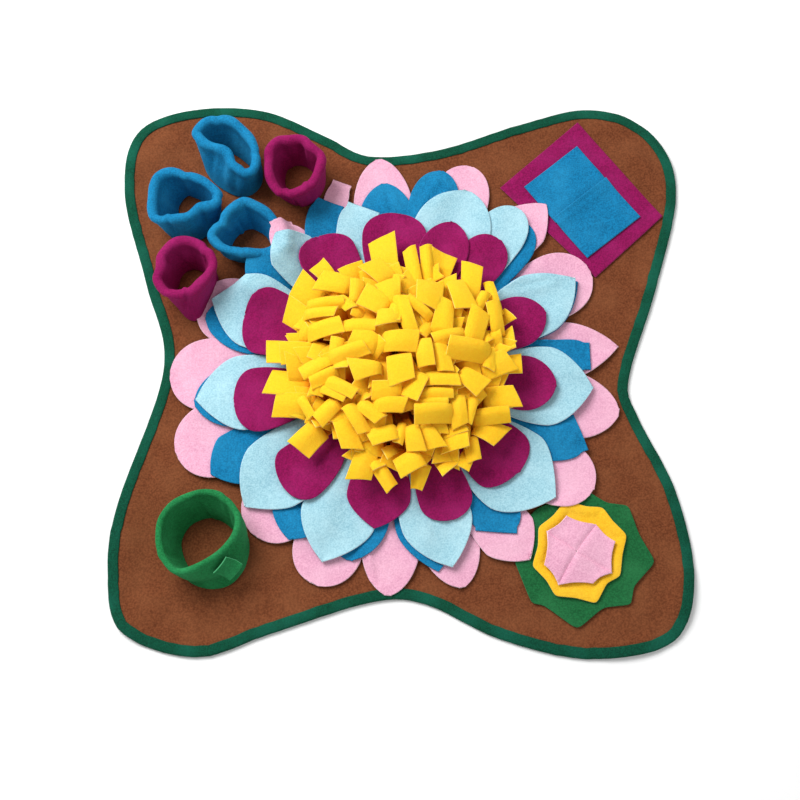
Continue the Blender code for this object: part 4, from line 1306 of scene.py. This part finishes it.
@dataclass
class PetalRing:
    """A ring of petals, laid one after another."""

    stem: str
    nodes: str
    finish: PolarFleece
    under: str
    table: tuple[tuple, ...]
    seed: int
    creases: dict[int, tuple[Crease, ...]] = field(default_factory=dict)
    root_radius: float = 88.0
    root_turn: float = 0.15
    root_spread: float = 0.46   # of the width that a petal has at its root
    knee: float = 0.45
    hidden_width: float = 1.1
    pleat: float = 1.5
    pleat_reach: float = 0.95   # as a share of the length
    shoulder: float = 2.6       # of a trough, in its own half widths
    stiffness: int = 10
    late: tuple[int, ...] = ()  # petals that are laid just after the next one, so lie over it
    along: int = 30
    across: int = 17
    crowding: float = 1.6       # how much closer together the rows lie towards the tip
    uneven: Pair = (0.6, 32.0)  # the slow rises: how high, and how far apart
    seed_step: int = 100        # between two rings, more than a ring has petals
    # The ranges of what gives each petal its own shape, in millimetres.
    cup: Pair = (0.4, 3.2)      # its two sides, up
    tilt: Pair = (-1.6, 1.6)    # one side up and the other down
    trough: Pair = (0.0, 1.8)   # its middle, down
    trough_width: float = 0.28  # of half its width
    curl: Pair = (-2.0, 1.5)    # its end
    pleat_waves: Pair = (1.3, 2.2)
    pleat_size: Pair = (0.2, 0.6)

    def order(self) -> list[int]:
        """The petals' numbers in the order in which they are laid."""
        numbers = list(range(1, len(self.table) + 1))
        for number in self.late:
            k = numbers.index(number)
            numbers[k:k + 2] = numbers[k + 1], number
        return numbers

    def shares(self) -> np.ndarray:
        """The rows' places along a petal, closer together towards its tip."""
        return 1.0 - (1.0 - np.linspace(0.0, 1.0, self.along)) ** self.crowding

    def flat_grid(self, petal: Petal) -> Grid:
        """The petal's points as it is cut, each row across it, from its root to its tip."""
        turn = math.radians(petal.angle)
        tip = FLOWER_CENTRE + petal.radius * np.array((math.cos(turn), math.sin(turn)))
        turn = math.radians(petal.angle + self.root_turn
                            * math.remainder(petal.angle - petal.points_at, 360.0))
        root = FLOWER_CENTRE + self.root_radius * np.array((math.cos(turn), math.sin(turn)))
        length = float(np.linalg.norm(tip - root))
        turn = math.radians(petal.points_at)
        knee = tip - np.array((math.cos(turn), math.sin(turn))) * self.knee * length
        share = self.shares()
        first = root + (knee - root) * share[:, None]
        second = knee + (tip - knee) * share[:, None]
        place = first + (second - first) * share[:, None]
        run = second - first
        side = np.stack([-run[:, 1], run[:, 0]], axis=1) / np.linalg.norm(run, axis=1, keepdims=True)
        belly, late, steep, blunt = petal.cut.value
        rising = np.sin(0.5 * math.pi * np.clip(share / belly, 0.0, 1.0))
        closing = np.clip((share - belly) / (1.0 - belly), 0.0, 1.0)
        spread = self.root_spread + (1.0 - self.root_spread) * rising
        spread = spread * np.maximum((1.0 - closing ** late) ** steep, blunt)
        half = 0.5 * petal.width * self.hidden_width * spread
        across = np.linspace(-1.0, 1.0, self.across)
        across = across * (1.0 + petal.lean * np.sign(across))
        level = place[:, None] + side[:, None] * (half[:, None] * across[None])[..., None]
        return np.concatenate([level, np.zeros_like(level[..., :1])], axis=-1)

    def shape(self, grid: Grid, petal: Petal, rng: np.random.Generator) -> None:
        """Gives the petal its own rise, cup and curl.

        Args:
            grid: Its points.
            petal: Its measures.
            rng: The source of its unevenness.
        """
        share = self.shares()[:, None]
        across = np.linspace(-1.0, 1.0, self.across)[None, :]
        rise = (petal.tip_height - FLEECE) * bump(1.0 - share) * np.minimum(1.0, share * 1.6)
        cup = rng.uniform(*self.cup) * across ** 2 * bump(2.0 * share - 1.2)
        lean = rng.uniform(*self.tilt) * across * bump(1.4 * share - 1.0)
        middle = np.exp(-(across / self.trough_width) ** 2)
        trough = -rng.uniform(*self.trough) * middle * bump(1.6 * share - 0.9)
        curl = rng.uniform(*self.curl) * np.clip((share - 0.7) / 0.3, 0.0, 1.0) ** 2
        grid[..., 2] = rise + cup + lean + trough + curl

    def gather(self, grid: Grid, rng: np.random.Generator) -> None:
        """Adds the soft pleats that run out from where the petal is sewn down."""
        share = self.shares()[:, None]
        across = np.linspace(-1.0, 1.0, self.across)[None, :]
        pleats = np.zeros_like(grid[..., 2])
        for waves in self.pleat_waves:
            pleats += self.pleat * rng.uniform(*self.pleat_size) * (
                1.0 + np.sin(math.pi * waves * across + rng.uniform(0.0, ANY_PHASE)))
        grid[..., 2] += pleats * bump(share / self.pleat_reach)

    def build(self, pile: Pile, others: tuple[Pile, ...] = ()) -> None:
        """Makes the ring's petals.

        Args:
            pile: The pile that they are laid on.
            others: Other piles that they are added to.
        """
        for number in self.order():
            petal = Petal(*self.table[number - 1])
            seed = self.seed * self.seed_step + number
            rng = np.random.default_rng(seed)
            flat = self.flat_grid(petal)
            grid = flat.copy()
            self.shape(grid, petal, rng)
            waver(grid, *self.uneven, seed)
            pile.drape(grid, stiffness=self.stiffness)
            self.gather(grid, rng)
            for crease in self.creases.get(number, ()):
                if crease.rise < 0:
                    Crease(crease.start, crease.end, self.shoulder * crease.half_width,
                           -crease.rise).press(grid)
                crease.press(grid)
            grid[..., 2] = np.maximum(grid[..., 2], pile.under(grid) + GAP)
            for heap in (pile, *others):
                heap.add(grid, FLEECE)
            width = petal.width * self.hidden_width
            length = float(np.linalg.norm(np.diff(flat[:, self.across // 2], axis=0), axis=1).sum())
            node = self.nodes.format(number)
            Sheet(f"{self.stem}_{number:02d}", grid, self.finish, (node,) if node else (), Hold.DRAPED,
                  (self.under,), (width, length), surface_area(flat)).build()


def seen_crease(u0: float, v0: float, u1: float, v1: float, half_width: float, rise: float,
                height: float = 14.0) -> Crease:
    """A crease between two places read off the photograph.

    Args:
        u0: The first place's pixel column.
        v0: The first place's pixel row.
        u1: The second place's pixel column.
        v1: The second place's pixel row.
        half_width: Half the crease's width, in millimetres.
        rise: How far it rises, or sinks below 0.
        height: How high above the floor it lies.

    Returns:
        The crease.
    """
    start, end = (tuple(VIEWPOINT.place(u, v, height)) for u, v in ((u0, v0), (u1, v1)))
    return Crease(start, end, half_width, rise)


def petal_rings() -> list[PetalRing]:
    """The four rings, in the order in which they are laid."""
    return [
        PetalRing("pink_petal_cloth", "", PINK, "ground_cloth", (
            (7.7, 257, 4, 64, 7, Cut.POINTED), (30, 259, 28, 72, 7), (49.7, 274, 44, 54, 7, Cut.CORNER),
            (71, 275, 74, 62, 7), (94, 269, 96, 64, 7, Cut.OVAL), (104.5, 246, 66, 27, 7, Cut.SQUARE),
            (158, 242, 160, 74, 7), (180, 254, 180, 78, 7), (201, 260, 202, 78, 7),
            (230, 240, 230, 72, 7), (250, 254, 250, 70, 7), (268.4, 251, 266, 60, 7, Cut.OVAL),
            (287, 253, 285, 62, 7, Cut.OVAL), (305, 258, 312, 60, 7, Cut.CORNER),
            (328, 257, 328, 70, 7), (350, 256, 352, 72, 7, Cut.OVAL),
        ), 1, {8: (seen_crease(214, 350, 232, 359, 5.0, -2.0, 7),),
               12: (seen_crease(367, 548, 374, 580, 4.0, 3.0, 7),)}),
        PetalRing("blue_petal_cloth", "blue_petal_{:02d}", BLUE, "pink_petal_cloth_01", (
            (109.5, 225, 66, 40, 9, Cut.SQUARE), (93, 236, 95, 62, 10, Cut.OVAL),
            (78, 258, 80, 53, 9), (50, 241, 52, 54, 9), (28, 239, 32, 70, 9, Cut.POINTED),
            (5.6, 223, 0, 38, 9, Cut.SQUARE), (342, 219, 20, 50, 9, Cut.SQUARE),
            (301.5, 213, 266, 52, 9, Cut.SQUARE), (282, 230, 281, 66, 9, Cut.POINTED),
            (257, 218, 261, 64, 9, Cut.OVAL), (238.9, 222, 250, 60, 9, Cut.CORNER),
            (209.9, 234, 215, 58, 9, Cut.CORNER), (189, 227, 194, 68, 9, Cut.OVAL),
            (162, 227, 172, 64, 9, Cut.OVAL), (140.5, 216, 131, 44, 36, Cut.CORNER),
        ), 2, {2: (seen_crease(387, 194, 392, 213, 6.0, -4.0, 11),),
               3: (seen_crease(421, 212, 443, 184, 5.0, -6.0, 11),
                   seen_crease(429, 216, 451, 189, 6.0, 5.0, 11))}),
        PetalRing("light_petal_cloth", "light_petal_{:02d}", LIGHT_BLUE, "blue_petal_cloth_01", (
            (100, 206, 68, 45, 15, Cut.SQUARE), (69, 240, 76, 82, 15, Cut.OVAL, 0.1),
            (54.5, 249, 57, 54, 14), (29, 237, 40, 68, 15, Cut.POINTED),
            (355.7, 224, 0, 84, 15, Cut.POINTED), (321, 228, 330, 90, 14, Cut.POINTED),
            (286, 230, 290, 72, 14, Cut.POINTED), (250, 229, 252, 76, 14, Cut.POINTED),
            (223, 225, 229, 80, 14, Cut.POINTED), (188, 225, 190, 80, 14, Cut.POINTED),
            (157, 227, 163, 76, 15, Cut.POINTED), (130.5, 209, 138, 54, 20, Cut.CORNER),
        ), 3, {4: (seen_crease(503, 289, 548, 281, 6.0, -4.0),),
               7: (seen_crease(419, 512, 424, 538, 5.0, -2.5),
                   seen_crease(431, 510, 437, 540, 5.0, -2.0)),
               8: (seen_crease(312, 520, 330, 541, 7.0, -2.0),)}, late=(2,)),
        PetalRing("magenta_petal_cloth", "magenta_petal_{:02d}", MAGENTA, "light_petal_cloth_01", (
            (89.5, 193, 85, 68, 21), (69.5, 194, 74, 52, 22, Cut.OVAL), (53, 201, 49, 50, 20),
            (23, 186, 22, 56, 21, Cut.OVAL), (355.5, 182, 0, 58, 20, Cut.OVAL), (319, 179, 315, 70, 18),
            (290.5, 181, 286, 54, 19), (263, 180, 262, 64, 18, Cut.POINTED), (226.5, 180, 212, 62, 20),
            (191, 183, 184, 68, 19), (159, 183, 166, 70, 20), (118, 186, 112, 62, 22),
        ), 4, {1: (seen_crease(411, 236, 417, 262, 5.0, -3.5, 20),),
               9: (seen_crease(301, 468, 342, 457, 6.0, -4.0, 20),)}, late=(2,)),
    ]


# ------------------------------------------------------------------ tuft
@dataclass(frozen=True)
class SeenStrip:
    """One strip of the tuft, read off the photograph, in the photograph's pixels."""

    base_u: float           # where it comes out from under the others
    base_v: float
    end_u: float            # the middle of its cut end
    end_v: float
    end_width: float
    base_width: float
    arch: float             # in millimetres, of its middle over its sides; below 0 for a trough
    level: int              # 0 for the lowest strips, 3 for those on top


@dataclass(frozen=True)
class Strip:
    """What shows of one strip, in millimetres about the flower's centre."""

    base: np.ndarray
    end: np.ndarray
    end_width: float
    base_width: float
    arch: float
    level: int


@dataclass
class Tuft:
    """Strips of yellow fleece sewn by one end to a backing disc, pleated at their roots, with their
    free ends spread out and folded over each other."""

    strips: tuple[SeenStrip, ...] = tuple(SeenStrip(*row) for row in (
        (388, 278, 382, 241, 28, 24, 2, 1), (388, 281, 369, 267, 26, 22, 2, 2),
        (358, 283, 350, 268, 28, 20, 3, 1), (331, 279, 317, 266, 21, 18, -4, 0),
        (350, 287, 319, 285, 24, 20, 6, 2), (319, 301, 297, 286, 28, 24, 2, 1),
        (313, 325, 287, 311, 25, 24, 2, 0), (312, 308, 345, 305, 11, 10, 5, 2),
        (309, 317, 337, 316, 11, 10, 5, 2), (312, 336, 343, 328, 18, 16, 4, 2),
        (306, 352, 267, 354, 27, 26, 2, 0), (319, 352, 281, 356, 24, 20, 2, 1),
        (346, 329, 376, 329, 12, 12, 5, 2), (386, 310, 362, 298, 27, 22, 2, 2),
        (356, 304, 358, 284, 14, 12, 5, 1), (394, 304, 388, 284, 27, 12, 3, 2),
        (400, 319, 377, 322, 20, 14, 4, 2), (376, 348, 353, 336, 24, 18, 3, 2),
        (335, 362, 367, 351, 14, 16, 7, 2), (335, 363, 338, 341, 13, 12, 4, 1),
        (386, 345, 418, 345, 22, 20, 4, 3), (418, 291, 409, 252, 13, 12, 6, 1),
        (428, 290, 425, 250, 12, 10, 6, 1), (436, 289, 444, 255, 28, 16, -4, 0),
        (430, 287, 428, 311, 26, 28, 3, 3), (470, 299, 472, 268, 22, 18, 5, 1),
        (455, 286, 466, 313, 24, 18, 3, 2), (441, 334, 446, 303, 15, 22, 4, 2),
        (474, 316, 485, 296, 9, 9, 4, 2), (497, 312, 488, 285, 9, 9, 4, 0),
        (497, 333, 491, 305, 14, 13, 4, 2), (499, 318, 511, 316, 16, 14, 4, 0),
        (498, 345, 514, 340, 24, 18, 3, 1), (471, 346, 480, 314, 20, 18, 5, 2),
        (484, 343, 501, 339, 14, 12, 6, 1), (485, 356, 447, 351, 21, 20, 8, 2),
        (462, 337, 433, 343, 14, 14, 5, 1), (429, 319, 407, 302, 8, 8, 4, 2),
        (413, 338, 400, 300, 15, 13, 5, 2), (398, 306, 393, 325, 14, 12, 4, 1),
        (423, 344, 427, 370, 17, 16, 4, 3), (438, 346, 446, 375, 15, 14, 5, 1),
        (484, 370, 510, 363, 24, 22, 3, 2), (498, 366, 521, 366, 23, 20, 2, 0),
        (309, 385, 268, 384, 28, 26, 2, 0), (309, 405, 275, 408, 24, 24, 3, 1),
        (329, 361, 302, 378, 15, 15, 5, 2), (336, 374, 311, 388, 12, 12, 5, 2),
        (302, 401, 313, 420, 8, 8, 4, 1), (336, 404, 318, 425, 16, 14, 5, 2),
        (329, 384, 356, 398, 12, 12, 5, 2), (321, 390, 346, 402, 8, 9, 4, 1),
        (379, 371, 351, 374, 24, 11, 3, 3), (399, 359, 402, 387, 26, 24, 2, 3),
        (319, 429, 299, 453, 26, 22, 7, 1), (342, 422, 353, 452, 21, 19, 3, 1),
        (349, 409, 365, 436, 13, 12, 5, 2), (361, 406, 381, 423, 14, 12, 5, 1),
        (399, 393, 372, 393, 17, 17, 3, 2), (377, 408, 406, 408, 14, 14, 4, 2),
        (395, 434, 369, 442, 18, 17, 3, 2), (369, 446, 358, 482, 23, 20, 4, 1),
        (377, 465, 392, 491, 13, 12, 6, 0), (394, 447, 384, 457, 12, 10, 4, 1),
        (421, 377, 409, 402, 20, 18, 3, 2), (427, 381, 459, 383, 16, 15, 4, 2),
        (421, 396, 453, 396, 10, 10, 5, 1), (417, 405, 448, 404, 9, 10, 5, 1),
        (449, 416, 414, 418, 18, 17, 8, 2), (411, 428, 417, 454, 18, 14, 5, 1),
        (424, 427, 437, 451, 19, 14, 5, 1), (457, 399, 460, 429, 16, 14, 4, 2),
        (473, 401, 467, 425, 9, 9, 4, 1), (461, 375, 483, 393, 25, 18, 2, 3),
        (486, 398, 517, 399, 22, 22, 3, 1), (476, 418, 509, 417, 15, 15, 6, 1),
        (477, 426, 502, 439, 28, 20, 3, 0), (458, 429, 455, 453, 27, 18, 3, 2),
        (470, 439, 474, 464, 13, 14, 5, 1), (441, 456, 452, 471, 27, 18, 3, 0),
        (419, 459, 397, 473, 20, 20, 3, 2), (421, 465, 417, 491, 10, 19, 5, 0),
        (403, 424, 397, 446, 9, 8, 5, 1), (372, 355, 384, 343, 14, 12, 5, 1),
        (350, 352, 341, 372, 14, 12, 4, 1), (430, 325, 420, 338, 12, 10, 4, 0),
        (366, 318, 352, 312, 12, 10, 4, 1), (447, 365, 456, 378, 12, 10, 4, 1),
        (323, 372, 316, 398, 14, 12, 4, 0), (360, 392, 366, 402, 14, 12, 4, 0),
        (405, 418, 412, 440, 12, 10, 4, 0), (385, 422, 392, 436, 12, 10, 4, 0),
        (437, 318, 430, 300, 12, 10, 4, 0), (372, 455, 380, 470, 14, 12, 4, 0),
        (480, 330, 488, 345, 12, 10, 4, 0), (340, 300, 352, 312, 12, 10, 4, 0),
        (300, 340, 310, 330, 14, 12, 4, 0), (470, 450, 462, 470, 14, 12, 4, 0),
        (494, 352, 488, 372, 12, 10, 4, 0),
    ))
    pixel: float = 1.14         # a pixel of the photograph at the tuft's height
    top: float = 72.0
    rim_top: float = 34.0
    reach: float = 140.0
    root_width: float = 15.0
    root_share: float = 0.6     # a root's way out from the centre, as a share of its base's
    step_up: float = 2.2        # from one level to the next
    free_length: float = 26.0   # of a strip that stands so steeply that less of it shows
    filler_count: int = 116     # short strips between the others, deep in the gaps
    filler_length: float = 24.0
    filler_width: float = 33.0
    filler_drop: float = 3.0
    cloth: float = 2.1
    fold: float = 0.95          # how sharply a strip is folded lengthwise
    tilt: float = 22.0          # degrees, of a strip to one side, at most
    gap_depth: float = 15.0     # where light from strip to strip has turned the gaps orange
    disc_radius: float = 80.0
    disc_thick: float = 4.0
    floor: float = 3.4
    columns: int = 7
    steps: int = 3              # rows between two points of a strip's middle line
    seed: int = 31
    dome_end: float = 150.0     # the dome falls no further from here out
    place_rounds: int = 5       # of working out a strip's place and its height from each other
    end_rise: float = 1.5       # of a strip's end over the dome
    base_drop: float = 4.0      # of its base under the dome
    steepness: float = 0.85     # of the fall along the part that doesn't show
    neck_back: float = 3.0      # how far behind its base a strip turns down
    tip_rise: Pair = (-3.0, 1.5)
    # Shares of a strip's length, and there its arch as a share of its greatest.
    arch_at: Row4 = (0.0, 0.3, 0.6, 1.0)
    arch_shares: Row4 = (0.3, 0.8, 1.3, 0.9)
    width_at: Row4 = (0.0, 0.4, 0.6, 1.0)   # where its root, neck, base and end widths are
    crest: float = 0.4          # how far its crest lies off its middle, at most
    crest_power: float = 1.2    # how flat it is beside the crest
    skew: float = 0.2           # of its cut end, as a share of its width, at most
    curl: float = 2.4           # of its end's corners, at most
    filler_reach: float = 108.0
    filler_base: float = 24.0
    filler_arch: Pair = (-2.0, 4.0)
    filler_shift: float = 0.3   # radians: how far its place is off the even spiral, at most
    filler_turn: float = 1.8    # radians: how far it points off the way out, at most
    golden_angle: float = 2.39996   # radians from one filler to the next, for an even spread
    air: float = 0.3            # between strips
    lowest: float = -4.0        # how far a strip may be let down on those under it
    highest: Pair = (2.0, 6.0)  # how far a filler and a seen strip may be raised
    moved_from: float = 1.8     # the shift is full from its inverse, as a share of the length, on
    disc_points: int = 48
    disc_rings: int = 4

    def dome(self, radius: float) -> float:
        """How high the strips' free ends stand at a distance from the centre."""
        share = min(radius, self.dome_end) / self.reach
        return self.rim_top + (self.top - self.rim_top) * (1 - share ** 2)

    def placed(self, seen: SeenStrip) -> Strip:
        """Works out where a strip lies from where it shows.

        Args:
            seen: The strip as the photograph shows it.

        Returns:
            The strip in millimetres.
        """
        ends = []
        for u, v in ((seen.base_u, seen.base_v), (seen.end_u, seen.end_v)):
            away = np.zeros(2)
            for _ in range(self.place_rounds):
                height = self.dome(float(np.linalg.norm(away)))
                away = VIEWPOINT.place(u, v, height) - FLOWER_CENTRE
            ends.append(away)
        return Strip(*ends, seen.end_width * self.pixel, seen.base_width * self.pixel, seen.arch,
                     seen.level)

    def sheet(self, strip: Strip, rng: np.random.Generator) -> Grid:
        """One strip, each row across it, from its root to its free end.

        Args:
            strip: What shows of it.
            rng: The source of its unevenness.

        Returns:
            The strip's points.
        """
        base = np.append(strip.base, 0.0)
        end = np.append(strip.end, 0.0)
        up = np.array((0.0, 0.0, 1.0))
        length = float(np.linalg.norm(end - base))
        ahead = (end - base) / length
        end[2] = self.dome(math.hypot(*end[:2])) + self.end_rise + self.step_up * strip.level
        base[2] = self.dome(math.hypot(*base[:2])) - self.base_drop + self.step_up * strip.level
        hidden = math.sqrt(max(self.free_length ** 2 - length ** 2, 0.0))
        base[2] = min(base[2], end[2] - self.steepness * hidden)
        root = base * self.root_share
        root[2] = self.floor + self.disc_thick - 1.0
        neck = base - ahead * self.neck_back + (root - base) * (0.0, 0.0, 0.3)
        crown = 0.5 * (base + end) + up * (0.05 * length + 1.0)
        tip = end + up * rng.uniform(*self.tip_rise)
        given = np.stack([root, 0.5 * (root + neck), neck, base, crown, tip])
        ends = np.vstack([2 * given[0] - given[1], given, 2 * given[-1] - given[-2]])
        rows = [between(*ends[k:k + 4], t) for k in range(len(given) - 1)
                for t in np.linspace(0.0, 1.0, self.steps, endpoint=False)]
        line = np.array([*rows, given[-1]])
        share = np.linspace(0.0, 1.0, len(line))
        width = np.interp(share, self.width_at,
                          (self.root_width, self.root_width, strip.base_width, strip.end_width))
        arch = self.fold * strip.arch * np.interp(share, self.arch_at, self.arch_shares)
        tilt = math.radians(rng.uniform(-self.tilt, self.tilt))
        side = np.array((-ahead[1], ahead[0], 0.0)) * math.cos(tilt) + up * math.sin(tilt)
        across = np.linspace(-1.0, 1.0, self.columns)
        crest = rng.uniform(-self.crest, self.crest)
        lifted = 1.0 - (np.abs(across - crest) / (1.0 + abs(crest))) ** self.crest_power
        grid = line[:, None] + side * (0.5 * width[:, None] * across)[..., None]
        grid = grid + up * (arch[:, None] * lifted)[..., None]
        skew = rng.uniform(-self.skew, self.skew) * strip.end_width * np.clip(share * 2 - 1, 0.0, 1.0)
        grid = grid + ahead * (skew[:, None] * across)[..., None]
        curl = rng.uniform(-self.curl, self.curl) * np.clip(share * 2.5 - 1.5, 0.0, 1.0)
        grid = grid + up * (curl[:, None] * across ** 3)[..., None]
        grid[..., :2] += FLOWER_CENTRE
        return grid

    def fillers(self, rng: np.random.Generator) -> list[Strip]:
        """Short strips deep between the others.

        Args:
            rng: The source of their places.

        Returns:
            The strips.
        """
        found = []
        for k in range(self.filler_count):
            radius = self.filler_reach * math.sqrt((k + 0.5) / self.filler_count)
            angle = k * self.golden_angle + rng.uniform(-self.filler_shift, self.filler_shift)
            turn = angle + rng.uniform(-self.filler_turn, self.filler_turn)
            base = radius * np.array((math.cos(angle), math.sin(angle)))
            end = base + self.filler_length * np.array((math.cos(turn), math.sin(turn)))
            found.append(Strip(base, end, self.filler_width, self.filler_base,
                               rng.uniform(*self.filler_arch), 0))
        return found

    def build(self, pile: Pile) -> None:
        """Makes the strips from the lowest up, each lying on those before it.

        Args:
            pile: The pile that holds the petals.
        """
        rng = np.random.default_rng(self.seed)
        points, faces, distances = [], [], []
        count = 0
        seen = [self.placed(strip) for strip in self.strips]
        seen.sort(key=lambda strip: (strip.level, -float(np.linalg.norm(strip.end))))
        fillers = self.fillers(rng)
        first = 2 * self.steps
        for number, strip in enumerate(fillers + seen):
            grid = self.sheet(strip, rng)
            deep = number < len(fillers)
            if deep:
                grid[..., 2] -= self.filler_drop * np.linspace(0.0, 1.0, len(grid))[:, None]
            free = grid[first:]
            need = float((pile.under(free) + self.air - free[..., 2]).max())
            shift = min(max(need, self.lowest), self.highest[0 if deep else 1])
            moved = np.clip(np.linspace(0.0, self.moved_from, len(grid)), 0.0, 1.0)
            grid[..., 2] += shift * moved[:, None]
            pile.add(grid[first:], self.cloth)
            body, skin, gaps = shell(grid, self.cloth, lift=1.0)
            faces += [tuple(v + count for v in face) for face in skin]
            points.append(body)
            distances.append(gaps)
            count += len(body)
        turns = np.linspace(0.0, 2 * math.pi, self.disc_points, endpoint=False)
        rim = FLOWER_CENTRE + self.disc_radius * np.stack([np.cos(turns), np.sin(turns)], axis=1)
        backing = fan_grid(rim, FLOWER_CENTRE, self.disc_rings)
        backing[..., 2] = self.floor
        body, skin, gaps = shell(backing, self.disc_thick, wrap=True, pole=True)
        faces += [tuple(v + count for v in face) for face in skin]
        points.append(body)
        distances.append(gaps)
        points = np.concatenate(points)
        away = np.linalg.norm(points[:, :2] - FLOWER_CENTRE, axis=1)
        surface = np.array([self.dome(radius) for radius in away])
        # Painted shade: points deeper under the dome's surface take on more of the deep orange.
        depth = np.clip((surface - points[:, 2]) / self.gap_depth, 0.0, 1.0)
        piece = new_piece("tuft_strips", points, faces, np.concatenate(distances), TUFT_YELLOW, depth)
        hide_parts("yellow_tuft")
        LOG.info("tuft_strips: %d strips, %d faces", len(fillers) + len(seen), len(faces))


# ------------------------------------------------------------------ studio
@dataclass
class Studio:
    """A pale floor, soft light from the upper left, and the camera where the photograph's was."""

    floor_side: float = 6.0
    key_at: tuple[float, float, float] = (-1.15, 0.95, 1.75)
    key_side: float = 1.3
    key_power: float = 60.0
    fill_at: tuple[float, float, float] = (1.6, -1.0, 1.8)
    fill_side: float = 2.2
    fill_power: float = 11.0
    sky: float = 0.43

    def aim(self, thing: bpy.types.Object, target: Vector) -> None:
        """Turns a lamp or camera towards a point."""
        thing.rotation_euler = (target - thing.location).to_track_quat("-Z", "Y").to_euler()

    def lamp(self, name: str, at: tuple[float, float, float], side: float, power: float) -> None:
        """Adds one soft square lamp aimed at the mat.

        Args:
            name: Its name.
            at: Where it hangs.
            side: Its side, in metres.
            power: Its power, in watts.
        """
        data = bpy.data.lights.new(name, "AREA")
        data.shape = "SQUARE"
        data.size = side
        data.energy = power
        lamp = bpy.data.objects.new(name, data)
        lamp.location = at
        bpy.context.scene.collection.objects.link(lamp)
        self.aim(lamp, Vector((0.0, 0.0, 0.0)))

    def build(self) -> None:
        """Makes the floor, the lights and the camera."""
        bpy.ops.object.select_all(action="DESELECT")
        bpy.ops.mesh.primitive_plane_add(size=self.floor_side, location=(0.0, 0.0, -0.0002))
        floor = bpy.context.object
        floor.name = "floor"
        bpy.ops.object.transform_apply(location=True, rotation=False, scale=False)
        floor.data.materials.append(StudioPaper().material())
        world = bpy.data.worlds.new("soft_white")
        bpy.context.scene.world = world
        world.use_nodes = True
        background = world.node_tree.nodes["Background"]
        background.inputs["Color"].default_value = (1.0, 1.0, 1.0, 1.0)
        background.inputs["Strength"].default_value = self.sky
        self.lamp("key", self.key_at, self.key_side, self.key_power)
        self.lamp("fill", self.fill_at, self.fill_side, self.fill_power)
        data = bpy.data.cameras.new("camera")
        data.lens = VIEWPOINT.lens
        data.sensor_width = VIEWPOINT.sensor
        camera = bpy.data.objects.new("camera", data)
        camera.location = Vector(VIEWPOINT.at) * METRES
        bpy.context.scene.collection.objects.link(camera)
        self.aim(camera, Vector(VIEWPOINT.look_at) * METRES)
        scene = bpy.context.scene
        scene.camera = camera
        scene.view_settings.view_transform = "Standard"


def main() -> None:
    """Builds the mat's pieces in the order in which they lie on each other."""
    logging.basicConfig(level=logging.INFO, format="%(name)s %(message)s")
    Studio().build()
    low = Pile()
    Ground().build(low)
    SquarePatch().build(low)
    LeafFlower().build(low)
    full = Pile(low.top)
    for tube in tubes():
        tube.build(low, full)
    CupTab().build(full)
    pink, *others = petal_rings()
    pink.build(low, (full,))
    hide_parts("pink_petal_ring")
    PetalRing("pink_loose_petal_cloth", "pink_petal_17", PINK, "ground_cloth",
              ((126.5, 222, 118, 46, 8, Cut.BLOCK),), 5, stiffness=50).build(full, (low,))
    for ring in others:
        ring.build(low, (full,))
    Tuft().build(Pile(low.top))


if __name__ == "__main__":
    main()
